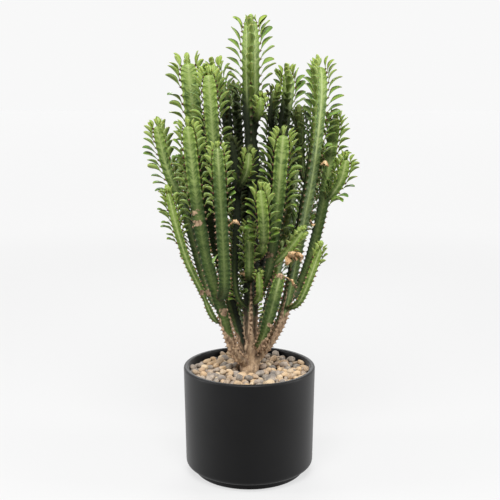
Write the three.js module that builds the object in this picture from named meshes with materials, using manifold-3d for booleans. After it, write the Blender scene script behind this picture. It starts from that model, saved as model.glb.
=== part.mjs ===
// A potted three-ribbed euphorbia: a round pot, soil, a bed of pebbles, a woody trunk and its
// leafy stems. Millimetres, +Z up, -Y towards the viewer. The origin is the centre of the
// pot's flat foot.
import * as THREE from 'three';
import { mergeVertices } from 'three/addons/utils/BufferGeometryUtils.js';
import Module from 'manifold-3d';

const library = await Module();
library.setup();

// Driving dimensions
const GAP = 0.3; // between two pieces that rest in or on each other

const POT = {
  height: 248, rimRadius: 150, baseRadius: 146.5, lip: 11.5, lipRound: 4,
  footRadius: 126, footHeight: 16, cornerRadius: 11, floor: 20, sides: 44,
};

const SOIL_TOP = 226;

const PEBBLES = {
  bedTop: 236, high: 7.5, wide: 12, long: 15.5, smallest: 0.86, largest: 1.04, proud: 0.5,
  spacing: 33, rings: [40, 67, 94, 120], seed: 11,
};

const TRUNK = {
  sides: 9, lobe: 0.1,
  // height and radius, from the root in the soil to the top that carries the leader
  profile: [[143, 13], [205, 20], [236, 23], [258, 22], [280, 16], [300, 13]],
  lean: [0, 6],
};

// Lengths in millimetres; notch, hollow and the other shares are parts of a rib's reach.
const RIB = {
  count: 3, notch: 0.15, hollow: 0.38, baseLength: 42, baseShare: 0.36, baseHollow: 0.7,
  tipLength: 34, tipShare: 0.36, widensFrom: 0.1, widensTo: 0.85, waistWidth: 0.035,
  hollowFromTip: 1 / 3, grownCrest: 2, grownHollow: 1.5,
};
const RIB_TURN = 360 / RIB.count;
const RIBS = [0, 1, 2];

const TEETH = {
  firstStep: 8, stepGrowth: 2.2, leafyStep: 18, lowerStep: 31, tipMargin: 4, stagger: 1 / 3,
  baseMargin: 22, hollowStep: 2.35,
};

const LEAF = {
  width: 13, keel: 1.8, rootHalfWidth: 1.7, rootDrop: 2.4, widest: 0.6,
  youngShare: 0.6, youngStep: 0.12, young: 20, grown: 52, droopPerTooth: 6, arch: 32,
  narrowShare: 0.55, smallest: 0.85, largest: 1.08, skip: 0.43, seed: 101,
};

// Room kept free round a leaf: its own half thickness, a rib's crest, a side stem's foot
const ROOM = {
  leaf: 4.2, crest: 6, foot: 26, stemStep: 7, edgeShare: 0.4,
  lowerShares: [0.45, 0.72, 1], upperShares: [0.35, 0.7, 1],
};

// Each stem: the stem it grows from, how far its ribs reach low and high, the length that
// carries leaves, the leaves' length, the compass angle of its first rib, and its route.
// A waist is a place, as a share of the length, with the share of the reach lost there. A tip
// is the length that tapers, where it isn't the usual one.
const STEMS = [
  { name: 'stem_leader', from: 'trunk', low: 22, high: 25, leafy: 160, leaf: 44, rib: -90,
    tip: 60, waists: [[0.66, 0.34]],
    route: [[2, 6, 280], [4, 6, 405], [4, 4, 635], [4, 0, 810], [3, 0, 940], [3, 0, 1015]] },
  { name: 'stem_left_arm', from: 'trunk', low: 16, high: 19, leafy: 175, leaf: 33, rib: 92,
    waists: [[0.52, 0.12]],
    route: [[0, 5, 243], [-30, -20, 281], [-45, -31, 325], [-60, -42, 385], [-95, -60, 515],
      [-115, -66, 650], [-130, -66, 793]] },
  { name: 'stem_right_arm', from: 'trunk', low: 16, high: 20, leafy: 165, leaf: 40, rib: -112,
    route: [[2, 6, 243], [54, -2, 318], [82, -10, 395], [112, -15, 560], [136, -15, 700],
      [150, -15, 840], [150, -15, 917]] },
  { name: 'stem_left_tall', from: 'trunk', low: 15, high: 25, leafy: 160, leaf: 43, rib: 95,
    route: [[0, 10, 250], [-30, 35, 335], [-50, 34, 415], [-78, 22, 550], [-102, 8, 690],
      [-121, 0, 810], [-133, 0, 925]] },
  { name: 'stem_back_left', from: 'trunk', low: 14, high: 18, leafy: 150, leaf: 37, rib: -80,
    route: [[0, 12, 252], [-28, 80, 350], [-60, 118, 490], [-84, 136, 610], [-104, 146, 715]] },
  { name: 'stem_back_right', from: 'trunk', low: 14, high: 18, leafy: 150, leaf: 37, rib: -95,
    route: [[3, 12, 252], [40, 78, 350], [74, 114, 490], [96, 132, 610], [108, 138, 735]] },
  { name: 'stem_right_blunt', from: 'trunk', low: 16, high: 18, leafy: 0, leaf: 0, rib: 80,
    route: [[8, 2, 268], [30, -24, 318], [43, -37, 362], [55, -46, 410], [70, -50, 472]] },
  { name: 'stem_back_middle', from: 'stem_leader', low: 13, high: 17, leafy: 140, leaf: 36,
    rib: -85,
    route: [[4, 6, 330], [4, 66, 415], [2, 112, 545], [12, 144, 690]] },
  { name: 'stem_left_slender', from: 'stem_leader', low: 9, high: 11, leafy: 120, leaf: 28,
    rib: 100,
    route: [[4, 6, 372], [-26, -8, 410], [-33, -10, 480], [-28, 2, 590], [-30, 10, 690],
      [-39, 10, 757]] },
  { name: 'stem_right_front', from: 'stem_leader', low: 12, high: 20, leafy: 155, leaf: 39,
    rib: 88,
    route: [[4, 6, 378], [30, -18, 435], [46, -38, 490], [60, -58, 610], [66, -66, 700],
      [72, -66, 774]] },
  { name: 'stem_right_inner', from: 'stem_leader', low: 13, high: 18, leafy: 150, leaf: 38,
    rib: -92,
    route: [[4, 6, 395], [32, 50, 480], [50, 66, 625], [70, 62, 740], [86, 50, 860],
      [84, 46, 905]] },
  { name: 'stem_low_shoot', from: 'stem_leader', low: 10, high: 12, leafy: 18, leaf: 16,
    rib: 75,
    route: [[4, 6, 385], [22, -24, 412], [24, -36, 438], [22, -40, 474]] },
  { name: 'stem_centre_short', from: 'stem_leader', low: 13, high: 15, leafy: 80, leaf: 27,
    rib: 90,
    route: [[4, 6, 436], [0, -32, 468], [0, -42, 510], [0, -50, 582]] },
  { name: 'stem_centre_front', from: 'stem_leader', low: 15, high: 16, leafy: 110, leaf: 32,
    rib: 85, waists: [[0.44, 0.35]],
    route: [[4, 5, 492], [20, -34, 512], [31, -70, 542], [30, -91, 600], [24, -95, 661]] },
  { name: 'stem_top_shoot', from: 'stem_leader', low: 11, high: 13, leafy: 30, leaf: 26,
    rib: 90,
    route: [[4, 0, 790], [17, -24, 811], [24, -36, 835], [24, -38, 853]] },
  { name: 'stem_left_outer', from: 'stem_left_arm', low: 9, high: 12, leafy: 85, leaf: 31,
    rib: 95, waists: [[0.24, 0.3]],
    route: [[-53, -37, 352], [-80, -48, 372], [-108, -54, 440], [-133, -59, 496], [-154, -62, 565],
      [-174, -62, 650]] },
  { name: 'stem_left_far', from: 'stem_left_arm', low: 12, high: 16, leafy: 150, leaf: 34,
    rib: 80,
    route: [[-60, -40, 380], [-82, -8, 404], [-106, 8, 460], [-143, 20, 600], [-180, 22, 690],
      [-203, 20, 790]] },
  { name: 'stem_left_front', from: 'stem_left_arm', low: 16, high: 18, leafy: 125, leaf: 27,
    rib: 90,
    route: [[-69, -47, 412], [-57, -74, 432], [-53, -91, 474], [-58, -102, 600],
      [-66, -102, 750]] },
  { name: 'stem_left_inner', from: 'stem_left_tall', low: 13, high: 20, leafy: 130, leaf: 39,
    rib: 88,
    route: [[-70, 26, 505], [-64, -12, 560], [-70, -36, 660], [-78, -40, 780], [-86, -40, 900]] },
  { name: 'stem_left_behind', from: 'stem_left_tall', low: 11, high: 16, leafy: 140, leaf: 36,
    rib: -90,
    route: [[-78, 22, 550], [-56, 52, 610], [-46, 62, 720], [-54, 58, 830], [-80, 50, 920]] },
  { name: 'stem_back_left_high', from: 'stem_left_tall', low: 11, high: 15, leafy: 120,
    leaf: 34, rib: -60,
    route: [[-88, 16, 605], [-92, 56, 650], [-92, 84, 725], [-100, 96, 815]] },
  { name: 'stem_right_outer', from: 'stem_right_arm', low: 14, high: 17, leafy: 140, leaf: 36,
    rib: 85,
    route: [[83, -10, 398], [108, 18, 416], [136, 26, 485], [158, 24, 575], [172, 18, 660],
      [190, 18, 808]] },
  { name: 'stem_right_low', from: 'stem_right_arm', low: 10, high: 12, leafy: 60, leaf: 24,
    rib: 95,
    route: [[78, -9, 382], [102, -32, 396], [122, -42, 430], [155, -42, 526]] },
  { name: 'stem_right_behind', from: 'stem_right_arm', low: 10, high: 14, leafy: 110, leaf: 34,
    rib: -100,
    route: [[130, -15, 655], [118, 12, 685], [114, 28, 735], [112, 34, 818]] },
  { name: 'stem_right_far', from: 'stem_right_outer', low: 13, high: 16, leafy: 80, leaf: 34,
    rib: 92,
    route: [[166, 21, 616], [184, 10, 640], [202, 0, 674], [212, -6, 719]] },
  { name: 'stem_right_leaning', from: 'stem_right_front', low: 10, high: 12, leafy: 40,
    leaf: 22, rib: 90,
    route: [[43, -34, 478], [66, -48, 504], [90, -54, 532], [115, -56, 567]] },
  { name: 'stem_centre_shoot', from: 'stem_left_slender', low: 10, high: 13, leafy: 60,
    leaf: 28, rib: 85,
    route: [[-30, 4, 645], [-17, -28, 668], [-4, -46, 700], [0, -48, 736]] },
  { name: 'stem_inner_shoot', from: 'stem_right_inner', low: 9, high: 11, leafy: 60, leaf: 28,
    rib: -70,
    route: [[75, 59, 770], [52, 38, 792], [50, 30, 825], [58, 26, 868]] },
  { name: 'stem_back_inner', from: 'stem_right_inner', low: 11, high: 15, leafy: 140, leaf: 36,
    rib: -88,
    route: [[34, 52, 490], [36, 92, 545], [50, 114, 650], [56, 118, 805]] },
  { name: 'stem_back_high', from: 'stem_leader', low: 11, high: 14, leafy: 120, leaf: 35,
    rib: -90,
    route: [[4, 4, 515], [-12, 56, 580], [-20, 88, 700], [-28, 96, 800], [-34, 96, 868]] },
  { name: 'stem_back_left_outer', from: 'stem_back_left', low: 12, high: 16, leafy: 120,
    leaf: 35, rib: -75,
    route: [[-58, 116, 482], [-92, 112, 530], [-130, 104, 620], [-160, 98, 705]] },
  { name: 'stem_back_shoot_left', from: 'stem_back_middle', low: 11, high: 14, leafy: 90,
    leaf: 32, rib: -100,
    route: [[4, 75, 436], [-20, 122, 470], [-30, 148, 520], [-36, 156, 590]] },
  { name: 'stem_back_shoot_right', from: 'stem_back_right', low: 10, high: 13, leafy: 70,
    leaf: 30, rib: -90,
    route: [[54, 92, 400], [36, 128, 428], [32, 148, 468], [36, 154, 525]] },
  { name: 'stem_back_right_outer', from: 'stem_back_right', low: 12, high: 16, leafy: 120,
    leaf: 35, rib: -85,
    route: [[75, 115, 495], [116, 108, 545], [148, 96, 640], [168, 90, 722]] },
];

const COLOURS = {
  pot: 0x1d1d1f, soil: 0x2f241b, pebbles: 0xa8947c, trunk: 0x8a6f55, stem: 0x4c7538,
};

// Small helpers

const radians = THREE.MathUtils.degToRad;
const { lerp, smoothstep } = THREE.MathUtils;

function drawFrom(seed) {
  let state = seed;
  return () => {
    state = (state * 16807) % 2147483647;
    return state / 2147483647;
  };
}

function toSolid(geometry) {
  const shape = geometry.clone();
  shape.deleteAttribute('normal');
  shape.deleteAttribute('uv');
  const merged = mergeVertices(shape, 1e-3);
  return new library.Manifold(new library.Mesh({
    numProp: 3,
    vertProperties: new Float32Array(merged.attributes.position.array),
    triVerts: new Uint32Array(merged.index.array),
  }));
}

function toGeometry(solid) {
  const mesh = solid.getMesh();
  const geometry = new THREE.BufferGeometry();
  geometry.setAttribute('position', new THREE.BufferAttribute(mesh.vertProperties, 3));
  geometry.setIndex(new THREE.BufferAttribute(mesh.triVerts, 1));
  geometry.computeVertexNormals();
  return geometry;
}

// A cut can leave scraps and a join can close off pockets: only the largest body stays.
function largestBody(solid) {
  return solid.decompose().reduce((best, body) => (body.volume() > best.volume() ? body : best));
}

function lathe(points, sides) {
  const profile = points.map(([radius, height]) => new THREE.Vector2(radius, height));
  return new THREE.LatheGeometry(profile, sides).rotateX(Math.PI / 2);
}

function arcPoints(centre, radius, fromDegrees, toDegrees, steps) {
  return Array.from({ length: steps + 1 }, (_, i) => {
    const angle = radians(lerp(fromDegrees, toDegrees, i / steps));
    return [centre[0] + radius * Math.cos(angle), centre[1] + radius * Math.sin(angle)];
  });
}

// Pot, soil and pebbles

function innerRadius(height) {
  return lerp(POT.baseRadius, POT.rimRadius, height / POT.height) - POT.lip;
}

function makePot() {
  const { height, rimRadius, baseRadius, lip, lipRound, cornerRadius } = POT;
  const corner = [baseRadius - cornerRadius, POT.footHeight + cornerRadius];
  const inside = rimRadius - lip;
  return lathe([
    [0, 0],
    [POT.footRadius, 0],
    [POT.footRadius, POT.footHeight],
    ...arcPoints(corner, cornerRadius, -75, 0, 3),
    ...arcPoints([rimRadius - lipRound, height - lipRound], lipRound, 0, 90, 2),
    ...arcPoints([inside + lipRound, height - lipRound], lipRound, 90, 180, 2),
    [innerRadius(POT.floor), POT.floor],
    [0, POT.floor],
  ], POT.sides);
}

function makeSoil(trunkRoom) {
  const low = POT.floor + GAP;
  const body = lathe([
    [0, low],
    [innerRadius(low) - GAP, low],
    [innerRadius(SOIL_TOP) - GAP, SOIL_TOP],
    [0, SOIL_TOP],
  ], POT.sides);
  return toGeometry(toSolid(body).subtract(trunkRoom));
}

function makePebble(draw) {
  const size = new THREE.Vector3(PEBBLES.long, PEBBLES.wide, PEBBLES.high);
  size.multiplyScalar(lerp(PEBBLES.smallest, PEBBLES.largest, draw()));
  const pebble = new THREE.IcosahedronGeometry(1, 0);
  pebble.rotateX(draw() * Math.PI).rotateZ(draw() * Math.PI);
  return pebble.scale(size.x, size.y, size.z);
}

function makePebbles(trunkRoom) {
  const draw = drawFrom(PEBBLES.seed);
  const low = SOIL_TOP + GAP;
  let bed = toSolid(lathe([
    [0, low],
    [innerRadius(low) - GAP, low],
    [innerRadius(PEBBLES.bedTop) - GAP, PEBBLES.bedTop],
    [0, PEBBLES.bedTop],
  ], POT.sides));
  for (const radius of PEBBLES.rings) {
    const count = Math.floor((2 * Math.PI * radius) / PEBBLES.spacing);
    for (let i = 0; i < count; i += 1) {
      const angle = ((i + 0.5 * draw()) / count) * 2 * Math.PI;
      const pebble = makePebble(draw).rotateZ(angle + Math.PI / 2);
      const height = PEBBLES.bedTop + PEBBLES.proud;
      pebble.translate(radius * Math.cos(angle), radius * Math.sin(angle), height);
      bed = bed.add(toSolid(pebble));
    }
  }
  return toGeometry(largestBody(bed.subtract(trunkRoom)));
}

// The woody trunk: rings of a lobed section, closed at both ends

function makeTrunk(grown) {
  const { sides, lobe, profile, lean } = TRUNK;
  const positions = [];
  for (const [height, radius] of profile) {
    for (let i = 0; i < sides; i += 1) {
      const angle = (i / sides) * 2 * Math.PI;
      const reach = radius * (1 + lobe * Math.cos(3 * angle)) + grown;
      positions.push(lean[0] + reach * Math.cos(angle), lean[1] + reach * Math.sin(angle));
      positions.push(height);
    }
  }
  const [bottom, top] = [profile[0][0] - grown, profile.at(-1)[0] + grown];
  positions.push(lean[0], lean[1], bottom, lean[0], lean[1], top);
  const bottomCentre = profile.length * sides;
  const index = [];
  for (let i = 0; i < sides; i += 1) {
    const next = (i + 1) % sides;
    for (let ring = 0; ring < profile.length - 1; ring += 1) {
      const [low, high] = [ring * sides, (ring + 1) * sides];
      index.push(low + i, low + next, high + next, low + i, high + next, high + i);
    }
    const last = (profile.length - 1) * sides;
    index.push(bottomCentre, next, i, bottomCentre + 1, last + i, last + next);
  }
  return indexed(positions, index);
}

function indexed(positions, index) {
  const geometry = new THREE.BufferGeometry();
  geometry.setAttribute('position', new THREE.Float32BufferAttribute(positions, 3));
  geometry.setIndex(index);
  geometry.computeVertexNormals();
  return geometry;
}

// Stems: three ribs round a slender core, with a notch between each two teeth of a rib

function planStem(stem) {
  const points = stem.route.map((place) => new THREE.Vector3(...place));
  const curve = new THREE.CatmullRomCurve3(points, false, 'catmullrom', 0.5);
  return { tip: RIB.tipLength, ...stem, curve, length: curve.getLength() };
}

function reachAt(stem, along) {
  const share = along / stem.length;
  const fromBase = smoothstep(along, 0, RIB.baseLength);
  const toTip = THREE.MathUtils.clamp((stem.length - along) / stem.tip, 0, 1);
  const rounded = Math.sqrt(1 - (1 - toTip) ** 2);
  let reach = lerp(stem.low, stem.high, smoothstep(share, RIB.widensFrom, RIB.widensTo));
  reach *= lerp(RIB.baseShare, 1, fromBase) * lerp(RIB.tipShare, 1, rounded);
  for (const [place, loss] of stem.waists ?? []) {
    reach *= 1 - loss * Math.exp(-(((share - place) / RIB.waistWidth) ** 2));
  }
  return reach;
}

function frameAt(stem, along) {
  const share = THREE.MathUtils.clamp(along / stem.length, 0, 1);
  const tangent = stem.curve.getTangentAt(share);
  const facing = new THREE.Vector3(Math.cos(radians(stem.rib)), Math.sin(radians(stem.rib)), 0);
  const ahead = facing.addScaledVector(tangent, -facing.dot(tangent)).normalize();
  return {
    point: stem.curve.getPointAt(share),
    tangent,
    outward: (degrees) => ahead.clone().applyAxisAngle(tangent, radians(degrees)),
  };
}

function ribPoint(stem, along, degrees, reach) {
  const frame = frameAt(stem, along);
  return frame.point.addScaledVector(frame.outward(degrees), reach);
}

// Places of the teeth on one rib, measured along the stem, from the tip down
function toothPlaces(stem, rib) {
  const places = [];
  let fromTip = TEETH.tipMargin + rib * TEETH.stagger * TEETH.firstStep;
  for (let i = 0; stem.length - fromTip > TEETH.baseMargin; i += 1) {
    const leafy = fromTip < stem.leafy;
    places.push({ along: stem.length - fromTip, number: i, leafy });
    const grown = leafy ? TEETH.leafyStep : TEETH.lowerStep;
    fromTip += Math.min(grown, TEETH.firstStep + i * TEETH.stepGrowth);
  }
  return places;
}

// Leaves: each grows from a tooth, first along one direction and then more outward

function shapeLeaf(stem, tooth, rib, turn, lift, size) {
  const frame = frameAt(stem, tooth.along);
  const outward = frame.outward(rib * RIB_TURN);
  const heading = outward.clone().applyAxisAngle(frame.tangent, radians(turn));
  const lean = Math.min(LEAF.grown, LEAF.young + tooth.number * LEAF.droopPerTooth) + lift;
  const along = (degrees) => frame.tangent.clone().multiplyScalar(Math.cos(radians(degrees)))
    .addScaledVector(heading, Math.sin(radians(degrees)));
  const growth = Math.min(1, LEAF.youngShare + tooth.number * LEAF.youngStep);
  const length = stem.leaf * growth * size;
  const root = frame.point.addScaledVector(outward, reachAt(stem, tooth.along));
  const middle = root.clone().addScaledVector(along(lean), length * LEAF.widest);
  const tip = middle.clone().addScaledVector(along(lean + LEAF.arch), length * (1 - LEAF.widest));
  const across = along(lean).cross(along(lean + 90)).normalize();
  const probes = leafProbes(root, middle, tip, across);
  return { stem, root, middle, tip, across, growth, along, lean, probes };
}

// Points down the middle of a leaf and on its two edges
function leafProbes(root, middle, tip, across) {
  const alongLeaf = (from, to, shares) => shares.map((share) => from.clone().lerp(to, share));
  const edges = [-ROOM.edgeShare, ROOM.edgeShare].map((share) => (
    middle.clone().addScaledVector(across, share * LEAF.width)));
  const lower = alongLeaf(root, middle, ROOM.lowerShares);
  return [...lower, ...edges, ...alongLeaf(middle, tip, ROOM.upperShares)];
}

// How far the three-ribbed section reaches at an angle from its nearest rib
function sectionReach(reach, degreesFromRib) {
  const angle = radians(degreesFromRib);
  const hollow = reach * RIB.hollow;
  const rise = (hollow * Math.sqrt(3)) / 2;
  return (reach * rise) / (Math.cos(angle) * rise - Math.sin(angle) * (hollow / 2 - reach));
}

function probeStem(stem) {
  const steps = Math.ceil(stem.length / ROOM.stemStep);
  return Array.from({ length: steps + 1 }, (_, i) => {
    const along = (i / steps) * stem.length;
    const frame = frameAt(stem, along);
    const reach = reachAt(stem, along);
    const crests = RIBS.map((rib) => (
      frame.point.clone().addScaledVector(frame.outward(rib * RIB_TURN), reach)));
    return { ...frame, first: frame.outward(0), reach, crests };
  });
}

function clearOfStem(point, probes, room) {
  return probes.every((probe) => {
    const away = point.clone().sub(probe.point);
    const distance = away.length();
    if (distance > probe.reach + room) return true;
    if (probe.crests.some((crest) => crest.distanceTo(point) < ROOM.crest)) return false;
    const radial = away.addScaledVector(probe.tangent, -away.dot(probe.tangent));
    const turned = THREE.MathUtils.radToDeg(probe.first.angleTo(radial));
    const fromRib = Math.abs(((turned + RIB_TURN / 2) % RIB_TURN) - RIB_TURN / 2);
    return distance > sectionReach(probe.reach, fromRib) + room;
  });
}

function isClear(leaf, stem, stems, placed) {
  const room = ROOM.leaf;
  const crowded = placed.some((other) => {
    const near = other.stem === stem ? leaf.probes : [leaf.root, ...leaf.probes];
    const far = other.stem === stem ? other.probes : [other.root, ...other.probes];
    return near.some((point) => far.some((place) => place.distanceTo(point) < 2 * room));
  });
  return !crowded && stems.every((other) => (
    other === stem || leaf.probes.every((point) => clearOfStem(point, other.probes, room))));
}

// No leaf grows where another stem has its foot.
function besideFoot(stem, tooth, stems) {
  const { point } = frameAt(stem, tooth.along);
  return stems.some((other) => (
    other.from === stem.name && other.probes[0].point.distanceTo(point) < ROOM.foot));
}

// A leaf that would touch a neighbour turns aside, lifts or stays short, or is left out.
const WAYS = [[0, 0, 1], [18, 0, 1], [-18, 0, 1], [0, -14, 1], [0, 16, 0.9], [26, -8, 0.85],
  [-26, -8, 0.85], [0, -20, 0.75], [20, 14, 0.7], [-20, 14, 0.7]];

function placeLeaves(stems) {
  const placed = [];
  for (const stem of stems) {
    const draw = drawFrom(LEAF.seed + stems.indexOf(stem));
    for (const rib of RIBS) {
      for (const tooth of stem.teeth[rib]) {
        if (!tooth.leafy || draw() < LEAF.skip || besideFoot(stem, tooth, stems)) continue;
        const size = lerp(LEAF.smallest, LEAF.largest, draw());
        const leaf = WAYS.map(([turn, lift, share]) => (
          shapeLeaf(stem, tooth, rib, turn, lift, size * share)))
          .find((way) => isClear(way, stem, stems, placed));
        if (leaf) {
          placed.push(leaf);
          tooth.leaf = leaf;
        }
      }
    }
  }
}

// Mesh building: chains of points along the ribs and hollows, stitched in strips

function stitch(lower, higher, index) {
  let [i, j] = [0, 0];
  while (i < lower.length - 1 || j < higher.length - 1) {
    const nextLower = i < lower.length - 1 ? lower[i + 1].along : Infinity;
    const nextHigher = j < higher.length - 1 ? higher[j + 1].along : Infinity;
    const climbsLower = nextLower <= nextHigher;
    const next = climbsLower ? lower[i + 1] : higher[j + 1];
    const corners = [lower[i].id, higher[j].id, next.id];
    if (new Set(corners).size === 3) index.push(...corners);
    i += climbsLower ? 1 : 0;
    j += climbsLower ? 0 : 1;
  }
}

function addLeaf(leaf, [keel, left, right], add, index) {
  const half = (LEAF.width * lerp(LEAF.narrowShare, 1, leaf.growth)) / 2;
  const under = leaf.along(leaf.lean + 90);
  const ring = [
    add(leaf.middle.clone().addScaledVector(under, LEAF.keel)),
    add(leaf.middle.clone().addScaledVector(leaf.across, -half)),
    add(leaf.middle.clone().addScaledVector(leaf.across, half)),
  ];
  const tip = add(leaf.tip);
  const loop = [[keel, ring[0]], [right, ring[2]], [left, ring[1]]];
  loop.forEach(([near, far], i) => {
    const [nextNear, nextFar] = loop[(i + 1) % 3];
    index.push(near, nextNear, nextFar, near, nextFar, far, far, nextFar, tip);
  });
}

function buildRib(stem, rib, ends, add, index, grown) {
  const degrees = rib * RIB_TURN;
  const left = [ends.base];
  const right = [ends.base];
  const both = (along, point) => {
    const entry = { along, id: add(point) };
    left.push(entry);
    right.push(entry);
    return entry;
  };
  const crest = (along, share) => (
    ribPoint(stem, along, degrees, reachAt(stem, along) * share + RIB.grownCrest * grown));
  const teeth = [...stem.teeth[rib]].reverse();
  teeth.forEach((tooth, i) => {
    const below = i ? teeth[i - 1].along : 0;
    const between = (below + tooth.along) / 2;
    const depth = RIB.notch * Math.min(1, (tooth.along - below) / TEETH.leafyStep);
    both(between, crest(between, 1 - depth));
    if (!tooth.leaf) {
      both(tooth.along, crest(tooth.along, 1));
      return;
    }
    const keel = both(tooth.along - LEAF.rootDrop, crest(tooth.along - LEAF.rootDrop, 1));
    const root = crest(tooth.along, 1);
    const { across } = tooth.leaf;
    const leftId = add(root.clone().addScaledVector(across, -LEAF.rootHalfWidth));
    const rightId = add(root.clone().addScaledVector(across, LEAF.rootHalfWidth));
    left.push({ along: tooth.along, id: leftId });
    right.push({ along: tooth.along, id: rightId });
    if (grown) {
      index.push(keel.id, rightId, leftId);
    } else {
      addLeaf(tooth.leaf, [keel.id, leftId, rightId], add, index);
    }
  });
  left.push(ends.tip);
  right.push(ends.tip);
  closeAboveLeaves(left, right, index);
  return { left, right };
}

// Above each leaf one triangle joins the two sides of the rib again.
function closeAboveLeaves(left, right, index) {
  for (let i = 1; i < left.length - 1; i += 1) {
    if (left[i].id !== right[i].id) index.push(left[i].id, right[i].id, left[i + 1].id);
  }
}

function buildHollow(stem, rib, ends, add, grown) {
  const chain = [ends.tip];
  const addAt = (along) => {
    const reach = reachAt(stem, along) * RIB.hollow + RIB.grownHollow * grown;
    chain.push({ along, id: add(ribPoint(stem, along, (rib + 0.5) * RIB_TURN, reach)) });
  };
  let along = stem.length - RIB.tipLength * RIB.hollowFromTip;
  while (along > TEETH.baseMargin) {
    addAt(along);
    along -= Math.max(reachAt(stem, along) * TEETH.hollowStep, TEETH.baseMargin);
  }
  addAt(TEETH.baseMargin / 2);
  chain.push(ends.hollowBase);
  return chain.reverse();
}

function sweepStem(stem, grown = 0) {
  const positions = [];
  const index = [];
  const add = (point) => positions.push(point.x, point.y, point.z) / 3 - 1;
  const tip = { along: stem.length, id: add(stem.curve.getPointAt(1)) };
  const centre = add(stem.curve.getPointAt(0));
  const start = reachAt(stem, 0) + grown;
  const ribs = [];
  const hollows = [];
  for (const rib of RIBS) {
    const base = { along: 0, id: add(ribPoint(stem, 0, rib * RIB_TURN, start)) };
    const hollowId = add(ribPoint(stem, 0, (rib + 0.5) * RIB_TURN, start * RIB.baseHollow));
    const hollowBase = { along: 0, id: hollowId };
    ribs.push(buildRib(stem, rib, { base, tip }, add, index, grown));
    hollows.push(buildHollow(stem, rib, { hollowBase, tip }, add, grown));
  }
  for (const rib of RIBS) {
    const next = ribs[(rib + 1) % RIB.count];
    stitch(ribs[rib].right, hollows[rib], index);
    stitch(hollows[rib], next.left, index);
    index.push(centre, hollows[rib][0].id, ribs[rib].right[0].id);
    index.push(centre, next.left[0].id, hollows[rib][0].id);
  }
  return indexed(positions, index);
}

// A stem's foot is cut to the surface that it grows from, and to the feet beside it.
function seatStem(stem, stems, trunkRoom) {
  let body = toSolid(sweepStem(stem));
  if (stem.from === 'trunk') {
    body = body.subtract(trunkRoom);
  } else {
    const parent = stems.find((other) => other.name === stem.from);
    body = body.subtract(toSolid(sweepStem(parent, GAP)));
  }
  const earlier = stems.slice(0, stems.indexOf(stem));
  for (const sibling of earlier.filter((other) => other.from === stem.from)) {
    body = body.subtract(toSolid(sweepStem(sibling, GAP)));
  }
  return toGeometry(largestBody(body));
}

// The whole plant in its pot

const potted = new THREE.Group();

function addPiece(name, geometry, colour, roughness) {
  const material = new THREE.MeshStandardMaterial({ color: colour, roughness, metalness: 0 });
  const mesh = new THREE.Mesh(geometry, material);
  mesh.name = name;
  potted.add(mesh);
}

const trunkRoom = toSolid(makeTrunk(GAP));
const stems = STEMS.map(planStem);
for (const stem of stems) {
  stem.teeth = RIBS.map((rib) => toothPlaces(stem, rib));
  stem.probes = probeStem(stem);
}
placeLeaves(stems);

addPiece('pot', makePot(), COLOURS.pot, 0.6);
addPiece('soil', makeSoil(trunkRoom), COLOURS.soil, 1);
addPiece('pebbles', makePebbles(trunkRoom), COLOURS.pebbles, 0.85);
addPiece('trunk', makeTrunk(0), COLOURS.trunk, 0.9);
for (const stem of stems) {
  addPiece(stem.name, seatStem(stem, stems, trunkRoom), COLOURS.stem, 0.55);
}

export default potted;
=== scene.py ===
# A potted three-ribbed euphorbia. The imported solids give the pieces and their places; this
# script gives each piece its fine shape and finish. Dictionaries hold millimetres and degrees,
# meshes are made in metres.
import bisect
import itertools
import math
import random
import bmesh
import bpy
from mathutils import Matrix, Vector, noise
from mathutils.bvhtree import BVHTree


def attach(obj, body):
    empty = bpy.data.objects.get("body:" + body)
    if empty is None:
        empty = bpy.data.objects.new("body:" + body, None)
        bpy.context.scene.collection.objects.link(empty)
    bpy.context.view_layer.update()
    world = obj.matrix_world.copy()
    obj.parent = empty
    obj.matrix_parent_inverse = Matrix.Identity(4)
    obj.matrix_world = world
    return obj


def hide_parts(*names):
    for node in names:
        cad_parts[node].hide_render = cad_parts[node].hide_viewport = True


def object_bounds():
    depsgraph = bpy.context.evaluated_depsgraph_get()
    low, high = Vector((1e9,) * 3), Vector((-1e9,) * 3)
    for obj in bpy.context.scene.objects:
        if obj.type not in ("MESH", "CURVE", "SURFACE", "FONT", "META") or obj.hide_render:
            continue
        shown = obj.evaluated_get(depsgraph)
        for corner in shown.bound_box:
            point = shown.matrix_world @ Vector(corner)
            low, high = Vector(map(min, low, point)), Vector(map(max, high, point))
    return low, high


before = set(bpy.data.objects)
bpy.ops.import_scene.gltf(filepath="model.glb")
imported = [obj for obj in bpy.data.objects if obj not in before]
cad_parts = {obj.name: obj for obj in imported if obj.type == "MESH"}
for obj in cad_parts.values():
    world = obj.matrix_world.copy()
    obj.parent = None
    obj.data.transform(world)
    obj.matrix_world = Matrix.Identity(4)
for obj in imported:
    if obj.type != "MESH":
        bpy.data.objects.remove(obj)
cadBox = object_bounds()
mm = 0.001
noise.seed_set(7)  # the vector noise that crumples the dry leaves is random until it is seeded


def addObject(name, data):
    made = bpy.data.objects.new(name, data)
    bpy.context.scene.collection.objects.link(made)
    return made


# Camera, light and floor

camera = {"place": (1.5, -2000, 879.1), "pitch": -10.33, "lens": 65.35, "sensor": 36}


def makeCamera():
    data = bpy.data.cameras.new("camera")
    data.sensor_width = camera["sensor"]
    data.lens = camera["lens"]
    seer = addObject("camera", data)
    seer.location = Vector(camera["place"]) * mm
    seer.rotation_euler = (math.radians(90 + camera["pitch"]), 0, 0)
    bpy.context.scene.camera = seer


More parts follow.
